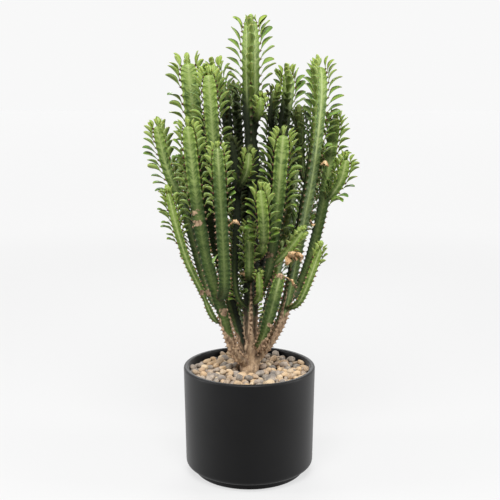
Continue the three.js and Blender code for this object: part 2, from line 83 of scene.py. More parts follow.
lights = [
    {"name": "top", "place": (-60, -1450, 2400), "aim": (0, 0, 550), "size": (1500, 1100), "watts": 87},
    {"name": "left", "place": (-1900, -250, 850), "aim": (0, 0, 450), "size": (500, 1500), "watts": 29},
    {"name": "right", "place": (1900, -250, 850), "aim": (0, 0, 450), "size": (500, 1500), "watts": 29},
    {"name": "behind", "place": (0, 1900, 1700), "aim": (0, 0, 600), "size": (1600, 900), "watts": 26},
]


def makeLight(light):
    data = bpy.data.lights.new(light["name"], "AREA")
    data.shape = "RECTANGLE"
    data.size, data.size_y = [side * mm for side in light["size"]]
    data.energy = light["watts"]
    lamp = addObject(light["name"], data)
    lamp.location = Vector(light["place"]) * mm
    ahead = (Vector(light["aim"]) - Vector(light["place"])).normalized()
    lamp.rotation_euler = ahead.to_track_quat("-Z", "Y").to_euler()


# Shader maths: a wire is one output socket, and sums on wires add the nodes

class Wire:
    def __init__(self, tree, socket=None):
        self.tree = tree
        self.socket = socket

    def make(self, kind, settings=None, inputs=None, output=0):
        node = self.tree.nodes.new(kind)
        for name, value in (settings or {}).items():
            if name == "stops":
                fillRamp(node.color_ramp, value)
            else:
                setattr(node, name, value)
        for name, value in (inputs or {}).items():
            if isinstance(value, Wire):
                self.tree.links.new(value.socket, node.inputs[name])
            else:
                node.inputs[name].default_value = tint(value) if isinstance(value, str) else value
        return Wire(self.tree, node.outputs[output])

    def maths(self, operation, *values):
        return self.make("ShaderNodeMath", {"operation": operation}, dict(enumerate(values)))

    def __add__(self, other):
        return self.maths("ADD", self, other)

    __radd__ = __add__

    def __sub__(self, other):
        return self.maths("SUBTRACT", self, other)

    def __rsub__(self, other):
        return self.maths("SUBTRACT", other, self)

    def __mul__(self, other):
        return self.maths("MULTIPLY", self, other)

    __rmul__ = __mul__

    def __abs__(self):
        return self.maths("ABSOLUTE", self)

    def fade(self, low, high):
        limits = {"Value": self, "From Min": low, "From Max": high}
        return self.make("ShaderNodeMapRange", {"interpolation_type": "SMOOTHSTEP"}, limits)

    def toNearest(self):
        return abs(self.maths("FRACT", self + 0.5) - 0.5)

    def blend(self, first, second):
        return self.make("ShaderNodeMix", {"data_type": "RGBA"}, {0: self, 6: first, 7: second}, 2)

    def parts(self):
        node = self.make("ShaderNodeSeparateXYZ", None, {0: self}).socket.node
        return [Wire(self.tree, socket) for socket in node.outputs]

    def ray(self, kind):
        return self.make("ShaderNodeLightPath", None, None, f"Is {kind} Ray")


def coat(shade, *coats):
    # paint over a shade: where each coat lies and its colour
    for mask, colour in coats:
        shade = mask.blend(shade, colour)
    return shade


def fillRamp(ramp, stops):
    while len(ramp.elements) < len(stops):
        ramp.elements.new(0.5)
    for element, (place, code) in zip(ramp.elements, stops):
        element.position = place
        element.color = tint(code)


def tint(code):
    # a screen colour such as "6f9268" as the light that the shader works in
    shades = [int(code[i:i + 2], 16) / 255 for i in (0, 2, 4)]
    linear = [s / 12.92 if s < 0.04045 else ((s + 0.055) / 1.055) ** 2.4 for s in shades]
    return (*linear, 1)


class Finish:
    # a new material: its shader, and the values that the meshes carry for it
    def __init__(self, name, **settings):
        self.material = bpy.data.materials.new(name)
        self.material.use_nodes = True
        tree = self.material.node_tree
        self.start = Wire(tree)
        self.shader = tree.nodes["Principled BSDF"]
        for socket, value in settings.items():
            self.shader.inputs[socket.replace("_", " ")].default_value = value

    def read(self, name):
        return self.start.make("ShaderNodeAttribute", {"attribute_name": name}, None, "Vector").parts()

    def spots(self, scale, detail=2, stretch=(1, 1, 1)):
        place = self.start.make("ShaderNodeTexCoord", None, None, "Object")
        wide = self.start.make("ShaderNodeMapping", None, {"Vector": place, "Scale": stretch})
        return self.grains(wide, scale, detail)

    def grains(self, place, scale, detail):
        return self.start.make("ShaderNodeTexNoise", None,
                               {"Vector": place, "Scale": scale, "Detail": detail})

    def feed(self, socket, wire):
        wire.tree.links.new(wire.socket, self.shader.inputs[socket])

    def emboss(self, height, strength, depth):
        bump = {"Height": height, "Strength": strength, "Distance": depth * mm}
        self.feed("Normal", self.start.make("ShaderNodeBump", None, bump))


studio = {
    "seen": 0.94, "lit": 0.06, "shine": 0.8, "floor": 30000, "paper": 0.13,
    "glow": (0.665, 0.845), "fade": (0.3, 4),
}


def makeWorld():
    bpy.context.scene.view_settings.view_transform = "Standard"
    world = bpy.data.worlds.new("studio")
    bpy.context.scene.world = world
    world.use_nodes = True
    start = Wire(world.node_tree)
    seen, shine = start.ray("Camera"), start.ray("Glossy")
    strength = seen * (studio["seen"] - studio["lit"]) + shine * studio["shine"] + studio["lit"]
    back = world.node_tree.nodes["Background"]
    back.inputs["Color"].default_value = (1, 1, 1, 1)
    world.node_tree.links.new(strength.socket, back.inputs["Strength"])


def makeFloor():
    side = studio["floor"] * mm
    mesh = bpy.data.meshes.new("floor")
    mesh.from_pydata([(-side, -side, 0), (side, -side, 0), (side, side, 0), (-side, side, 0)],
                     [], [(0, 1, 2, 3)])
    floor = addObject("floor", mesh)
    grey = studio["paper"]
    paper = Finish("paleFloor", Base_Color=(grey, grey, grey, 1), Roughness=0.8, Emission_Strength=1)
    # the lamps light the near floor, and the glow evens out what they leave
    place = paper.start.make("ShaderNodeTexCoord", None, None, "Object")
    away = paper.start.make("ShaderNodeVectorMath", {"operation": "LENGTH"}, {0: place}, "Value")
    near, far = studio["glow"]
    glow = away.fade(*studio["fade"]) * (far - near) + near
    seen = (paper.start.ray("Camera") + paper.start.ray("Glossy") * studio["shine"]) * glow
    paper.feed("Emission Color", seen.make("ShaderNodeCombineXYZ", None, {0: seen, 1: seen, 2: seen}))
    mesh.materials.append(paper.material)


# Meshes: points in millimetres, faces, and the values that the finishes read at each point

class Shape:
    def __init__(self):
        self.points, self.places, self.tones = [], [], []
        self.faces, self.finishes = [], []

    def add(self, point, place=(0, 0, 0), tone=(0, 0, 0)):
        self.points.append(Vector(point))
        self.places.append(place)
        self.tones.append(tone)
        return len(self.points) - 1

    def face(self, *corners, finish=0):
        self.faces.append(corners)
        self.finishes.append(finish)

    def cover(self, rings, finish=0):
        for lower, higher in zip(rings, rings[1:]):
            for i, corner in enumerate(lower):
                j = (i + 1) % len(lower)
                self.face(corner, lower[j], higher[j], higher[i], finish=finish)

    def fan(self, ring, middle, finish=0):
        for i, corner in enumerate(ring):
            self.face(corner, ring[(i + 1) % len(ring)], middle, finish=finish)

    def closeEnds(self, rings, finish=0):
        self.face(*rings[0][::-1], finish=finish)
        self.face(*rings[-1], finish=finish)

    def mesh(self, name):
        mesh = bpy.data.meshes.new(name)
        mesh.from_pydata([tuple(point * mm) for point in self.points], [], self.faces)
        mesh.polygons.foreach_set("material_index", self.finishes)
        mesh.polygons.foreach_set("use_smooth", [True] * len(self.faces))
        for label, values in (("place", self.places), ("tone", self.tones)):
            layer = mesh.attributes.new(label, "FLOAT_VECTOR", "POINT")
            layer.data.foreach_set("vector", [number for value in values for number in value])
        mesh.validate()
        return mesh


def addPiece(name, mesh, finishes, slot, *replaced):
    piece = addObject(name, mesh)
    for finish in finishes:
        mesh.materials.append(finish.material)
    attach(piece, "root")
    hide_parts(*replaced)


def smoothstep(value, low, high):
    share = min(1, max(0, (value - low) / (high - low)))
    return share * share * (3 - 2 * share)


def lerp(low, high, share):
    return low + (high - low) * share


def around(count):
    return [i / count * math.tau for i in range(count)]


def outward(first, second, angle):
    return first * math.cos(angle) + second * math.sin(angle)


# Pot: a lathe turned from its outline

pot = {
    "height": 248, "rimRadius": 150, "baseRadius": 146.5, "lip": 11.5, "lipRound": 4.6,
    "footRadius": 126, "footHeight": 16, "footEdge": 1.5, "footRing": (9, 7), "hollow": 0.6,
    "cornerRadius": 11, "floor": 20, "floorEdge": 8, "sides": 160,
}


def innerRadius(height):
    return lerp(pot["baseRadius"], pot["rimRadius"], height / pot["height"]) - pot["lip"]


def arc(centre, radius, start, end, steps):
    angles = [math.radians(lerp(start, end, i / steps)) for i in range(steps + 1)]
    return [(centre[0] + radius * math.cos(a), centre[1] + radius * math.sin(a)) for a in angles]


def turn(shape, outline, sides, shift=None):
    # rings round the Z axis; the outline starts and ends on the axis
    rings = []
    for radius, height in outline[1:-1]:
        ring = []
        for angle in around(sides):
            point = Vector((radius * math.cos(angle), radius * math.sin(angle), height))
            ring.append(shape.add(shift(point) if shift else point))
        rings.append(ring)
    shape.cover(rings)
    for centre, ring in ((outline[0], rings[0][::-1]), (outline[-1], rings[-1])):
        shape.fan(ring, shape.add((0, 0, centre[1])))


def potOutline():
    height, rim, base, foot = (pot[key] for key in ("height", "rimRadius", "baseRadius", "footHeight"))
    lip, corner, radius, edge = (pot[key] for key in ("lipRound", "cornerRadius", "footRadius", "footEdge"))
    floor, bend, hollow = pot["floor"], pot["floorEdge"], pot["hollow"]
    inner, outer = (radius - inset for inset in pot["footRing"])
    inside = rim - pot["lip"]
    wall = [(lerp(base, rim, share), lerp(foot + corner, height - lip, share))
            for share in (0.02, 0.25, 0.5, 0.75, 0.98)]
    return [
        (0, hollow), (inner, hollow), (outer, 0), (radius - edge, 0), (radius, edge),
        (radius, foot - edge), (radius + edge, foot),
        *arc((base - corner, foot + corner), corner, -82, 0, 9), *wall,
        *arc((rim - lip, height - lip), lip, 0, 90, 7),
        *arc((inside + lip, height - lip), lip, 90, 180, 7),
        *[(innerRadius(level), level) for level in (200, 60, floor + bend)],
        (innerRadius(floor) - bend, floor), (0, floor),
    ]


def potFinish():
    glaze = Finish("charcoalGlaze", Specular_IOR_Level=0.17, Sheen_Weight=0.19, Sheen_Roughness=0.42)
    cloud, grain = glaze.spots(9, 3), glaze.spots(900, 2)
    glaze.feed("Base Color", cloud.fade(0.3, 0.75).blend("0a0a0b", "0f0f10"))
    glaze.feed("Roughness", cloud * 0.12 + grain * 0.06 + 0.36)
    glaze.emboss(grain, 0.12, 0.25)
    return glaze


def makePot():
    shape = Shape()
    turn(shape, potOutline(), pot["sides"])
    addPiece("glazedPot", shape.mesh("glazedPot"), [potFinish()], "pot", "pot")
    print("pot turned")


# Soil: crumbly on top, seen only between the pebbles

soil = {
    "top": 226, "gap": 0.3, "margin": 1, "bevel": 10, "rings": 26, "sides": 110, "slack": 0.01,
    "crumbs": ((2.2, 0.09), (0.8, 0.4)),
}


def soilFinish():
    earth = Finish("pottingSoil", Roughness=0.95)
    lumps, flecks = earth.spots(160, 4), earth.spots(600, 1)
    dark = lumps.fade(0.35, 0.65).blend("1d150f", "43342a")
    earth.feed("Base Color", flecks.fade(0.64, 0.7).blend(dark, "8a7a66"))
    earth.emboss(lumps, 0.7, 1.6)
    return earth


def makeSoil():
    shape = Shape()
    top, margin, count = soil["top"], soil["margin"], soil["rings"]
    edge = innerRadius(top) - soil["gap"]
    low = pot["floor"] + soil["gap"]
    inner = innerRadius(low) - soil["gap"]
    outline = [(0, low), (inner - soil["bevel"], low), (inner - margin, low + pot["floorEdge"])]
    outline += [(edge * (1 - i / count) + soil["slack"], top) for i in range(count)]
    outline.append((0, top))

    def crumble(point):
        if point.z > top - margin and point.xy.length < edge - margin:
            point.z += sum(height * noise.noise(point * scale) for height, scale in soil["crumbs"])
        return point

    turn(shape, outline, soil["sides"], crumble)
    addPiece("soilFill", shape.mesh("soilFill"), [soilFinish()], "soil", "soil")
    print("soil filled")


# Pebbles: loose river stones, each dropped to the lowest place among a few tries

pebbles = {
    "seed": 23, "level": 240.5, "base": 225, "long": (7.6, 11.4), "wide": (6.2, 8.0), "thick": (5.0, 6.9),
    "tries": 60, "most": 900, "clearTrunk": 25, "clearWall": 0.8, "reach": 0.9, "trunkReach": 0.6,
    "tilt": 0.28, "lumps": ((0.17, 0.9), (0.05, 2.2)), "squared": 0.86,
    "colours": ((0, "6b655f"), (0.2, "857c74"), (0.38, "97897c"), (0.52, "b09270"), (0.68, "c4a883"),
                (0.82, "84705f"), (1, "d8c09c")),
}


def dropStones(draw):
    edge = innerRadius(pebbles["level"]) - pebbles["clearWall"]
    settled = []
    while len(settled) < pebbles["most"]:
        size = Vector([draw.uniform(*pebbles[key]) for key in ("long", "wide", "thick")])
        reach = (size.x + size.y) / 2 * pebbles["reach"]
        best = None
        for _ in range(pebbles["tries"]):
            radius = math.sqrt(draw.random()) * (edge - reach)
            angle = draw.uniform(0, math.tau)
            x, y = radius * math.cos(angle), radius * math.sin(angle)
            apart = math.hypot(x - trunk["lean"][0], y - trunk["lean"][1])
            if apart < pebbles["clearTrunk"] + reach * pebbles["trunkReach"]:
                continue
            height = pebbles["base"] + size.z
            for other, otherReach, otherSize in settled:
                apart = math.hypot(other.x - x, other.y - y)
                touch = reach + otherReach
                if apart < touch:
                    rise = math.sqrt(1 - (apart / touch) ** 2) * (size.z + otherSize.z)
                    height = max(height, other.z + rise)
            if best is None or height < best.z:
                best = Vector((x, y, height))
        if best is None or best.z > pebbles["level"]:
            break
        settled.append((best, reach, size))
    return settled


def addStone(shape, ball, centre, size, draw):
    tilts = [Matrix.Rotation(draw.gauss(0, pebbles["tilt"]), 3, axis) for axis in "XY"]
    turned = Matrix.Rotation(draw.uniform(0, math.tau), 3, "Z") @ (tilts[0] @ tilts[1])
    seed = Vector([draw.uniform(-50, 50) for _ in range(3)])
    colour = (draw.random(), draw.random(), draw.random())
    corners = []
    for point in ball:
        lump = sum((height * noise.noise(point * scale + seed) for height, scale in pebbles["lumps"]), 1)
        squared = Vector([math.copysign(abs(part) ** pebbles["squared"], part) for part in point])
        moved = Vector([squared[i] * size[i] * lump for i in range(3)])
        corners.append(shape.add(turned @ moved + centre, tuple(point), colour))
    return corners


def roundBall(steps):
    ball = bmesh.new()
    bmesh.ops.create_icosphere(ball, subdivisions=steps, radius=1)
    ball.verts.index_update()
    points = [corner.co.copy() for corner in ball.verts]
    faces = [[corner.index for corner in face.verts] for face in ball.faces]
    ball.free()
    return points, faces


def pebbleFinish():
    stone = Finish("riverStone")
    shade = stone.start.make("ShaderNodeValToRGB", {"stops": pebbles["colours"]}, {0: stone.read("tone")[0]})
    veins, specks = stone.spots(110, 5), stone.spots(700, 2)
    worn = (veins.fade(0.42, 0.66) * 0.5).blend(shade, "c9b9a2")
    mixed = (veins.fade(0.3, 0.5) * 0.55 + 0.2).blend(shade, worn)
    stone.feed("Base Color", (specks.fade(0.6, 0.72) * 0.45).blend(mixed, "5d534b"))
    stone.feed("Roughness", 0.62 + specks * 0.25)
    stone.emboss(specks + veins, 0.35, 0.35)
    return stone


def makePebbles():
    draw = random.Random(pebbles["seed"])
    ball, faces = roundBall(3)
    shape = Shape()
    settled = dropStones(draw)
    for centre, _, size in settled:
        corners = addStone(shape, ball, centre, size, draw)
        for face in faces:
            shape.face(*[corners[i] for i in face])
    addPiece("pebbleBed", shape.mesh("pebbleBed"), [pebbleFinish()], "pebbles", "pebbles")
    print(len(settled), "pebbles dropped")


# Stems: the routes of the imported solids, walked by their length

# what a stem grows from, its reach at the foot and near the tip, how far down from the tip it has
# leaves and how long they are, the compass angle of its first rib, and the places on its route.
# Youth shifts the age of its skin, tip is the length that narrows at its end, and a waist is a
# narrow place: how far up it is, and the share that is lost there
def grow(bearer, low, high, leafy, leaf, rib, *route, **own):
    return {"from": bearer, "reach": (low, high), "leafy": leafy, "leaf": leaf, "rib": rib,
            "route": route, **own}


stems = {
    "leader": grow("trunk", 22, 25, 160, 44, -90, (2, 6, 280), (4, 6, 405), (4, 4, 635), (4, 0, 810),
        (3, 0, 940), (3, 0, 1015), youth=0.6, tip=60, waists=[(0.66, 0.34)]),
    "left_arm": grow("trunk", 16, 19, 175, 33, 92, (0, 5, 243), (-30, -20, 281), (-45, -31, 325),
        (-60, -42, 385), (-95, -60, 515), (-115, -66, 650), (-130, -66, 793), youth=-0.1,
        waists=[(0.52, 0.12)]),
    "right_arm": grow("trunk", 16, 20, 165, 40, -112, (2, 6, 243), (54, -2, 318), (82, -10, 395),
        (112, -15, 560), (136, -15, 700), (150, -15, 840), (150, -15, 917), youth=0.25),
    "left_tall": grow("trunk", 15, 25, 200, 43, 95, (0, 10, 250), (-30, 35, 335), (-50, 34, 415),
        (-78, 22, 550), (-102, 8, 690), (-121, 0, 810), (-133, 0, 925)),
    "back_left": grow("trunk", 14, 18, 330, 37, -80, (0, 12, 252), (-28, 80, 350), (-60, 118, 490),
        (-84, 136, 610), (-104, 146, 715)),
    "back_right": grow("trunk", 14, 18, 330, 37, -95, (3, 12, 252), (40, 78, 350), (74, 114, 490),
        (96, 132, 610), (108, 138, 735)),
    "right_blunt": grow("trunk", 16, 18, 0, 0, 80, (8, 2, 268), (30, -24, 318), (43, -37, 362),
        (55, -46, 410), (70, -50, 472), youth=-0.9),
    "back_middle": grow("leader", 13, 17, 310, 36, -85, (4, 6, 330), (4, 66, 415), (2, 112, 545),
        (12, 144, 690)),
    "left_slender": grow("leader", 9, 11, 300, 28, 100, (4, 6, 372), (-26, -8, 410), (-33, -10, 480),
        (-28, 2, 590), (-30, 10, 690), (-39, 10, 757)),
    "right_front": grow("leader", 12, 20, 175, 39, 88, (4, 6, 378), (30, -18, 435), (46, -38, 490),
        (60, -58, 610), (66, -66, 700), (72, -66, 774), youth=-0.25),
    "right_inner": grow("leader", 13, 18, 280, 38, -92, (4, 6, 395), (32, 50, 480), (50, 66, 625),
        (70, 62, 740), (86, 50, 860), (84, 46, 905)),
    "low_shoot": grow("leader", 10, 12, 18, 16, 75, (4, 6, 385), (22, -24, 412), (24, -36, 438),
        (22, -40, 474), youth=0.9),
    "centre_short": grow("leader", 13, 15, 80, 27, 90, (4, 6, 436), (0, -32, 468), (0, -42, 510),
        (0, -50, 582), youth=-0.25),
    "centre_front": grow("leader", 15, 16, 110, 38, 85, (4, 5, 492), (20, -34, 512), (31, -70, 542),
        (30, -91, 600), (24, -95, 661), youth=0.3, waists=[(0.44, 0.35)]),
    "top_shoot": grow("leader", 11, 13, 30, 26, 90, (4, 0, 790), (17, -24, 811), (24, -36, 835),
        (24, -38, 853), youth=0.3),
    "left_outer": grow("left_arm", 9, 12, 100, 31, 95, (-53, -37, 352), (-80, -48, 372), (-108, -54, 440),
        (-133, -59, 496), (-154, -62, 565), (-174, -62, 650), youth=0.45, waists=[(0.24, 0.3)]),
    "left_far": grow("left_arm", 12, 16, 300, 34, 80, (-60, -40, 380), (-82, -8, 404), (-106, 8, 460),
        (-143, 20, 600), (-180, 22, 690), (-203, 20, 790)),
    "left_front": grow("left_arm", 16, 18, 125, 27, 90, (-69, -47, 412), (-57, -74, 432), (-53, -91, 474),
        (-58, -102, 600), (-66, -102, 750), youth=-0.75),
    "left_inner": grow("left_tall", 13, 20, 170, 39, 88, (-70, 26, 505), (-64, -12, 560), (-70, -36, 660),
        (-78, -40, 780), (-86, -40, 900), youth=0.4),
    "left_behind": grow("left_tall", 11, 16, 260, 36, -90, (-78, 22, 550), (-56, 52, 610), (-46, 62, 720),
        (-54, 58, 830), (-80, 50, 920)),
    "back_left_high": grow("left_tall", 11, 15, 120, 34, -60, (-88, 16, 605), (-92, 56, 650),
        (-92, 84, 725), (-100, 96, 815)),
    "right_outer": grow("right_arm", 14, 17, 170, 36, 85, (83, -10, 398), (108, 18, 416), (136, 26, 485),
        (158, 24, 575), (172, 18, 660), (190, 18, 808)),
    "right_low": grow("right_arm", 10, 12, 36, 29, 95, (78, -9, 382), (102, -32, 396), (122, -42, 430),
        (155, -42, 526), youth=0.35),
    "right_behind": grow("right_arm", 10, 14, 110, 34, -100, (130, -15, 655), (118, 12, 685),
        (114, 28, 735), (112, 34, 818)),
    "right_far": grow("right_outer", 13, 16, 110, 34, 92, (166, 21, 616), (184, 10, 640), (202, 0, 674),
        (212, -6, 719)),
    "right_leaning": grow("right_front", 10, 12, 40, 22, 90, (43, -34, 478), (66, -48, 504),
        (90, -54, 532), (115, -56, 567)),
    "centre_shoot": grow("left_slender", 10, 13, 60, 28, 85, (-30, 4, 645), (-17, -28, 668),
        (-4, -46, 700), (0, -48, 736)),
    "inner_shoot": grow("right_inner", 9, 11, 60, 28, -70, (75, 59, 770), (52, 38, 792), (50, 30, 825),
        (58, 26, 868)),
    "back_inner": grow("right_inner", 11, 15, 260, 36, -88, (34, 52, 490), (36, 92, 545), (50, 114, 650),
        (56, 118, 805)),
    "back_high": grow("leader", 11, 14, 270, 35, -90, (4, 4, 515), (-12, 56, 580), (-20, 88, 700),
        (-28, 96, 800), (-34, 96, 868)),
    "back_left_outer": grow("back_left", 12, 16, 240, 35, -75, (-58, 116, 482), (-92, 112, 530),
        (-130, 104, 620), (-160, 98, 705)),
    "back_shoot_left": grow("back_middle", 11, 14, 150, 32, -100, (4, 75, 436), (-20, 122, 470),
        (-30, 148, 520), (-36, 156, 590)),
    "back_shoot_right": grow("back_right", 10, 13, 120, 30, -90, (54, 92, 400), (36, 128, 428),
        (32, 148, 468), (36, 154, 525)),
    "back_right_outer": grow("back_right", 12, 16, 240, 35, -85, (75, 115, 495), (116, 108, 545),
        (148, 96, 640), (168, 90, 722)),
}

ribs = {
    "count": 3, "turn": 120, "notch": 0.19, "hollow": 0.38, "baseLength": 42, "baseShare": 0.36,
    "tipLength": 34, "tipShare": 0.36, "dome": 7, "widens": (0.1, 0.85), "waistWidth": 0.035,
    "ringStep": 2.0, "quickStep": 4, "edge": 0.9, "edgeShare": 0.115, "thinner": 0.2,
    "lowest": 0.62, "notchRound": 1.7, "fullNotch": 16, "domeRows": (0.3, 0.6, 0.85),
}

# where the points of half a rib lie: 1 on the crest, 0 in the hollow between two ribs
flank = {
    "lateral": (1, 0.96, 0.88, 0.72, 0.53, 0.34, 0.16, 0),
    "notched": (1, 1, 0.9, 0.5, 0.22, 0.07, 0, 0),
    "crest": ((0, 0), (0.25, 0.62), (0.95, 0.98)),
    "between": (0.22, 0.46, 0.7, 0.88),
}

teeth = {
    "nearTip": 3, "stagger": 6, "first": 5, "growth": 2.3, "slender": 10, "stout": 25, "narrow": 11.5,
    "wide": 17.5, "lower": (0.25, 0.8), "lowerShare": 0.68, "jitter": 0.07, "nearBase": 14,
}


class Route:
    def __init__(self, places):
        line = [Vector(place) for place in places]
        line = [2 * line[0] - line[1], *line, 2 * line[-1] - line[-2]]
        steps = 40
        self.points, self.tangents, self.lengths = [], [], [0]
        for i in range((len(line) - 3) * steps + 1):
            k = min(i // steps, len(line) - 4)
            t = i / steps - k
            first, second = (line[k + 2] - line[k]) / 2, (line[k + 3] - line[k + 1]) / 2
            start, end = line[k + 1], line[k + 2]
            point = ((2 * t ** 3 - 3 * t ** 2 + 1) * start + (t ** 3 - 2 * t ** 2 + t) * first
                     + (3 * t ** 2 - 2 * t ** 3) * end + (t ** 3 - t ** 2) * second)
            speed = ((6 * t ** 2 - 6 * t) * (start - end) + (3 * t ** 2 - 4 * t + 1) * first
                     + (3 * t ** 2 - 2 * t) * second)
            if self.points:
                self.lengths.append(self.lengths[-1] + (point - self.points[-1]).length)
            self.points.append(point)
            self.tangents.append(speed.normalized())
        self.length = self.lengths[-1]

    def at(self, along):
        along = min(max(along, 0), self.length)
        i = min(bisect.bisect_right(self.lengths, along), len(self.lengths) - 1)
        share = (along - self.lengths[i - 1]) / (self.lengths[i] - self.lengths[i - 1])
        point = self.points[i - 1].lerp(self.points[i], share)
        return point, self.tangents[i - 1].lerp(self.tangents[i], share).normalized()


def reachAt(stem, along):
    share = along / stem["length"]
    toTip = min(1, max(0, (stem["length"] - along) / stem.get("tip", ribs["tipLength"])))
    rounded = math.sqrt(1 - (1 - toTip) ** 2)
    reach = lerp(*stem["reach"], smoothstep(share, *ribs["widens"]))
    reach *= lerp(ribs["baseShare"], 1, smoothstep(along, 0, ribs["baseLength"]))
    reach *= lerp(ribs["tipShare"], 1, rounded)
    for place, loss in stem.get("waists", ()):
        reach *= 1 - loss * math.exp(-((share - place) / ribs["waistWidth"]) ** 2)
    return reach


def frameAt(stem, along):
    # the place, the way along, the way of the first rib and the way to its left
    point, tangent = stem["line"].at(along)
    compass = math.radians(stem["rib"])
    ahead = Vector((math.cos(compass), math.sin(compass), 0))
    ahead = (ahead - tangent * ahead.dot(tangent)).normalized()
    return point, tangent, ahead, tangent.cross(ahead)


def crestAt(stem, along, rib, sunk):
    # a place below the crest of a rib, the way along and the way out
    point, tangent, ahead, side = frameAt(stem, along)
    out = outward(ahead, side, math.radians(rib * ribs["turn"]))
    return point + out * (reachAt(stem, along) - sunk), tangent, out


def toothPlaces(stem, rib, draw):
    size = (stem["reach"][1] - teeth["slender"]) / (teeth["stout"] - teeth["slender"])
    wide = lerp(teeth["narrow"], teeth["wide"], size)
    fromTip = teeth["nearTip"] + rib / ribs["count"] * teeth["stagger"]
    places = []
    while fromTip < stem["length"] - teeth["nearBase"]:
        places.append(fromTip)
        lower = smoothstep(fromTip / stem["length"], *teeth["lower"])
        grown = wide * lerp(1, teeth["lowerShare"], lower)
        step = min(teeth["first"] + teeth["growth"] * len(places), grown)
        fromTip += step * (1 + draw.uniform(-teeth["jitter"], teeth["jitter"]))
    return places


def phaseAt(places, fromTip):
    # whole at each tooth, counted from the tip
    k = bisect.bisect_right(places, fromTip)
    if k == 0:
        return fromTip / places[0] - 1
    if k == len(places):
        return k - 1 + (fromTip - places[-1]) / teeth["narrow"]
    return k - 1 + (fromTip - places[k - 1]) / (places[k] - places[k - 1])


def scallop(phase):
    # 0 on a tooth and 1 at the lowest place of the notch, nearer to the next tooth down
    share, lowest = phase % 1, ribs["lowest"]
    away = 1 - share / lowest if share < lowest else (share - lowest) / (1 - lowest)
    return 1 - away ** ribs["notchRound"]


def halfRib(reach, phase, depth):
    cut = scallop(phase) * depth
    edge = (ribs["edge"] + ribs["edgeShare"] * reach) * (1 - ribs["thinner"] * cut)
    hollow = reach * ribs["hollow"]
    foot = Vector((hollow * 0.5, hollow * math.sqrt(0.75)))  # half way round to the next rib
    points = [Vector((reach - inward * edge, across * edge)) for inward, across in flank["crest"]]
    points += [points[-1].lerp(foot, share) for share in flank["between"]]
    points.append(foot)
    for point, weight in zip(points, flank["notched"]):
        point.x -= reach * ribs["notch"] * cut * weight
    return points


bark = {
    "top": {"leader": 425, "left_arm": 372, "right_arm": 412, "left_tall": 360, "back_left": 350,
            "back_right": 350, "right_blunt": 345},
    "fadeHeight": 90, "collar": 20, "crest": 0.42, "crestFade": (0.75, 0.25), "under": 0.5,
    "rough": 0.9, "grain": 0.3, "crestFrom": 0.8, "flank": 0.5, "start": 1.1,
}


# corky scars: the stem, where they lie on it and how wide they are
scars = [
    ("left_arm", (-114, -80, 610), 15), ("left_arm", (-112, -80, 584), 16),
    ("left_arm", (-56, -50, 384), 15), ("left_tall", (-80, 0, 594), 16),
    ("left_inner", (-66, -44, 610), 10), ("centre_front", (24, -90, 528), 11),
    ("right_arm", (104, -34, 520), 12), ("right_arm", (70, -20, 382), 15), ("leader", (18, -12, 388), 16),
    ("right_front", (46, -52, 512), 12), ("right_blunt", (44, -44, 352), 12),
    ("right_blunt", (70, -56, 470), 17), ("left_far", (-92, -10, 420), 13),
    ("left_outer", (-104, -60, 430), 9), ("back_left", (-62, 138, 500), 16),
    ("back_right", (70, 132, 470), 14),
]


# how strong the cork of a scar is, and how far its edge wanders at which scale
scarEdge = {"depth": 1.4, "ragged": ((5, 0.16), (3, 0.5))}


def scarAt(stem, point):
    ragged = sum(height * noise.noise(point * scale) for height, scale in scarEdge["ragged"])
    return max([0] + [scarEdge["depth"] * (1 - ((Vector(at) - point).length + ragged) / wide)
                      for name, at, wide in scars if name == stem["name"]])


# the outline of the crown for the painted shade inside it, the painted shade at a joint and its fade, and
# the ages of fresh and old skin
crown = {
    "foot": 290, "full": 640, "open": (790, 940), "wide": (46, 205), "deep": (32, 128),
    "middle": (5, 25), "ahead": 20, "edge": (0.38, 0.96), "joint": 0.75, "jointFade": (4, 52),
    "fresh": (0, 75), "old": (70, 230),
}


def paintedShadeAt(point, facing=Vector()):
    # 0 at the outside of the crown and 1 deep inside: painted shade that darkens the colour there, and dust
    # that roughens it
    spread = smoothstep(point.z, crown["foot"], crown["full"])
    spot = point + facing * crown["ahead"]
    across = spot.x / lerp(*crown["wide"], spread)
    along = (spot.y - lerp(*crown["middle"], spread)) / lerp(*crown["deep"], spread)
    out = math.hypot(across, along) + smoothstep(point.z, *crown["open"])
    return 1 - smoothstep(out, *crown["edge"])


def jointShade(stem, along):
    # a side stem is dark where it leaves its bearer: painted shade at the joint, standing also for the older
    # tissue there
    if stem["from"] == "trunk":
        return 0
    return crown["joint"] * (1 - smoothstep(along, *crown["jointFade"]))


def youthAt(stem, fromTip):
    # 1 at a fresh tip, 0 on grown skin and -1 where it is old and dark
    grown = smoothstep(fromTip, *crown["fresh"]) + smoothstep(fromTip, *crown["old"])
    return max(-1, min(1, 1 - grown + stem.get("youth", 0)))


def corkAt(stem, along, point, lateral, facing):
    # over 0.5 the skin is cork; the shader breaks the edge up
    share = along / stem["length"]
    cork = bark["crest"] * smoothstep(share, *bark["crestFade"]) * smoothstep(lateral, bark["crestFrom"], 1)
    if stem["from"] == "trunk":
        rise = (bark["top"][stem["name"]] - point.z) / bark["fadeHeight"]
        cork += rise + bark["flank"] * (lateral - 0.5) - bark["under"] * facing.z
    else:
        cork += bark["start"] - along / bark["collar"]
    return min(1, max(0, cork, scarAt(stem, point)))


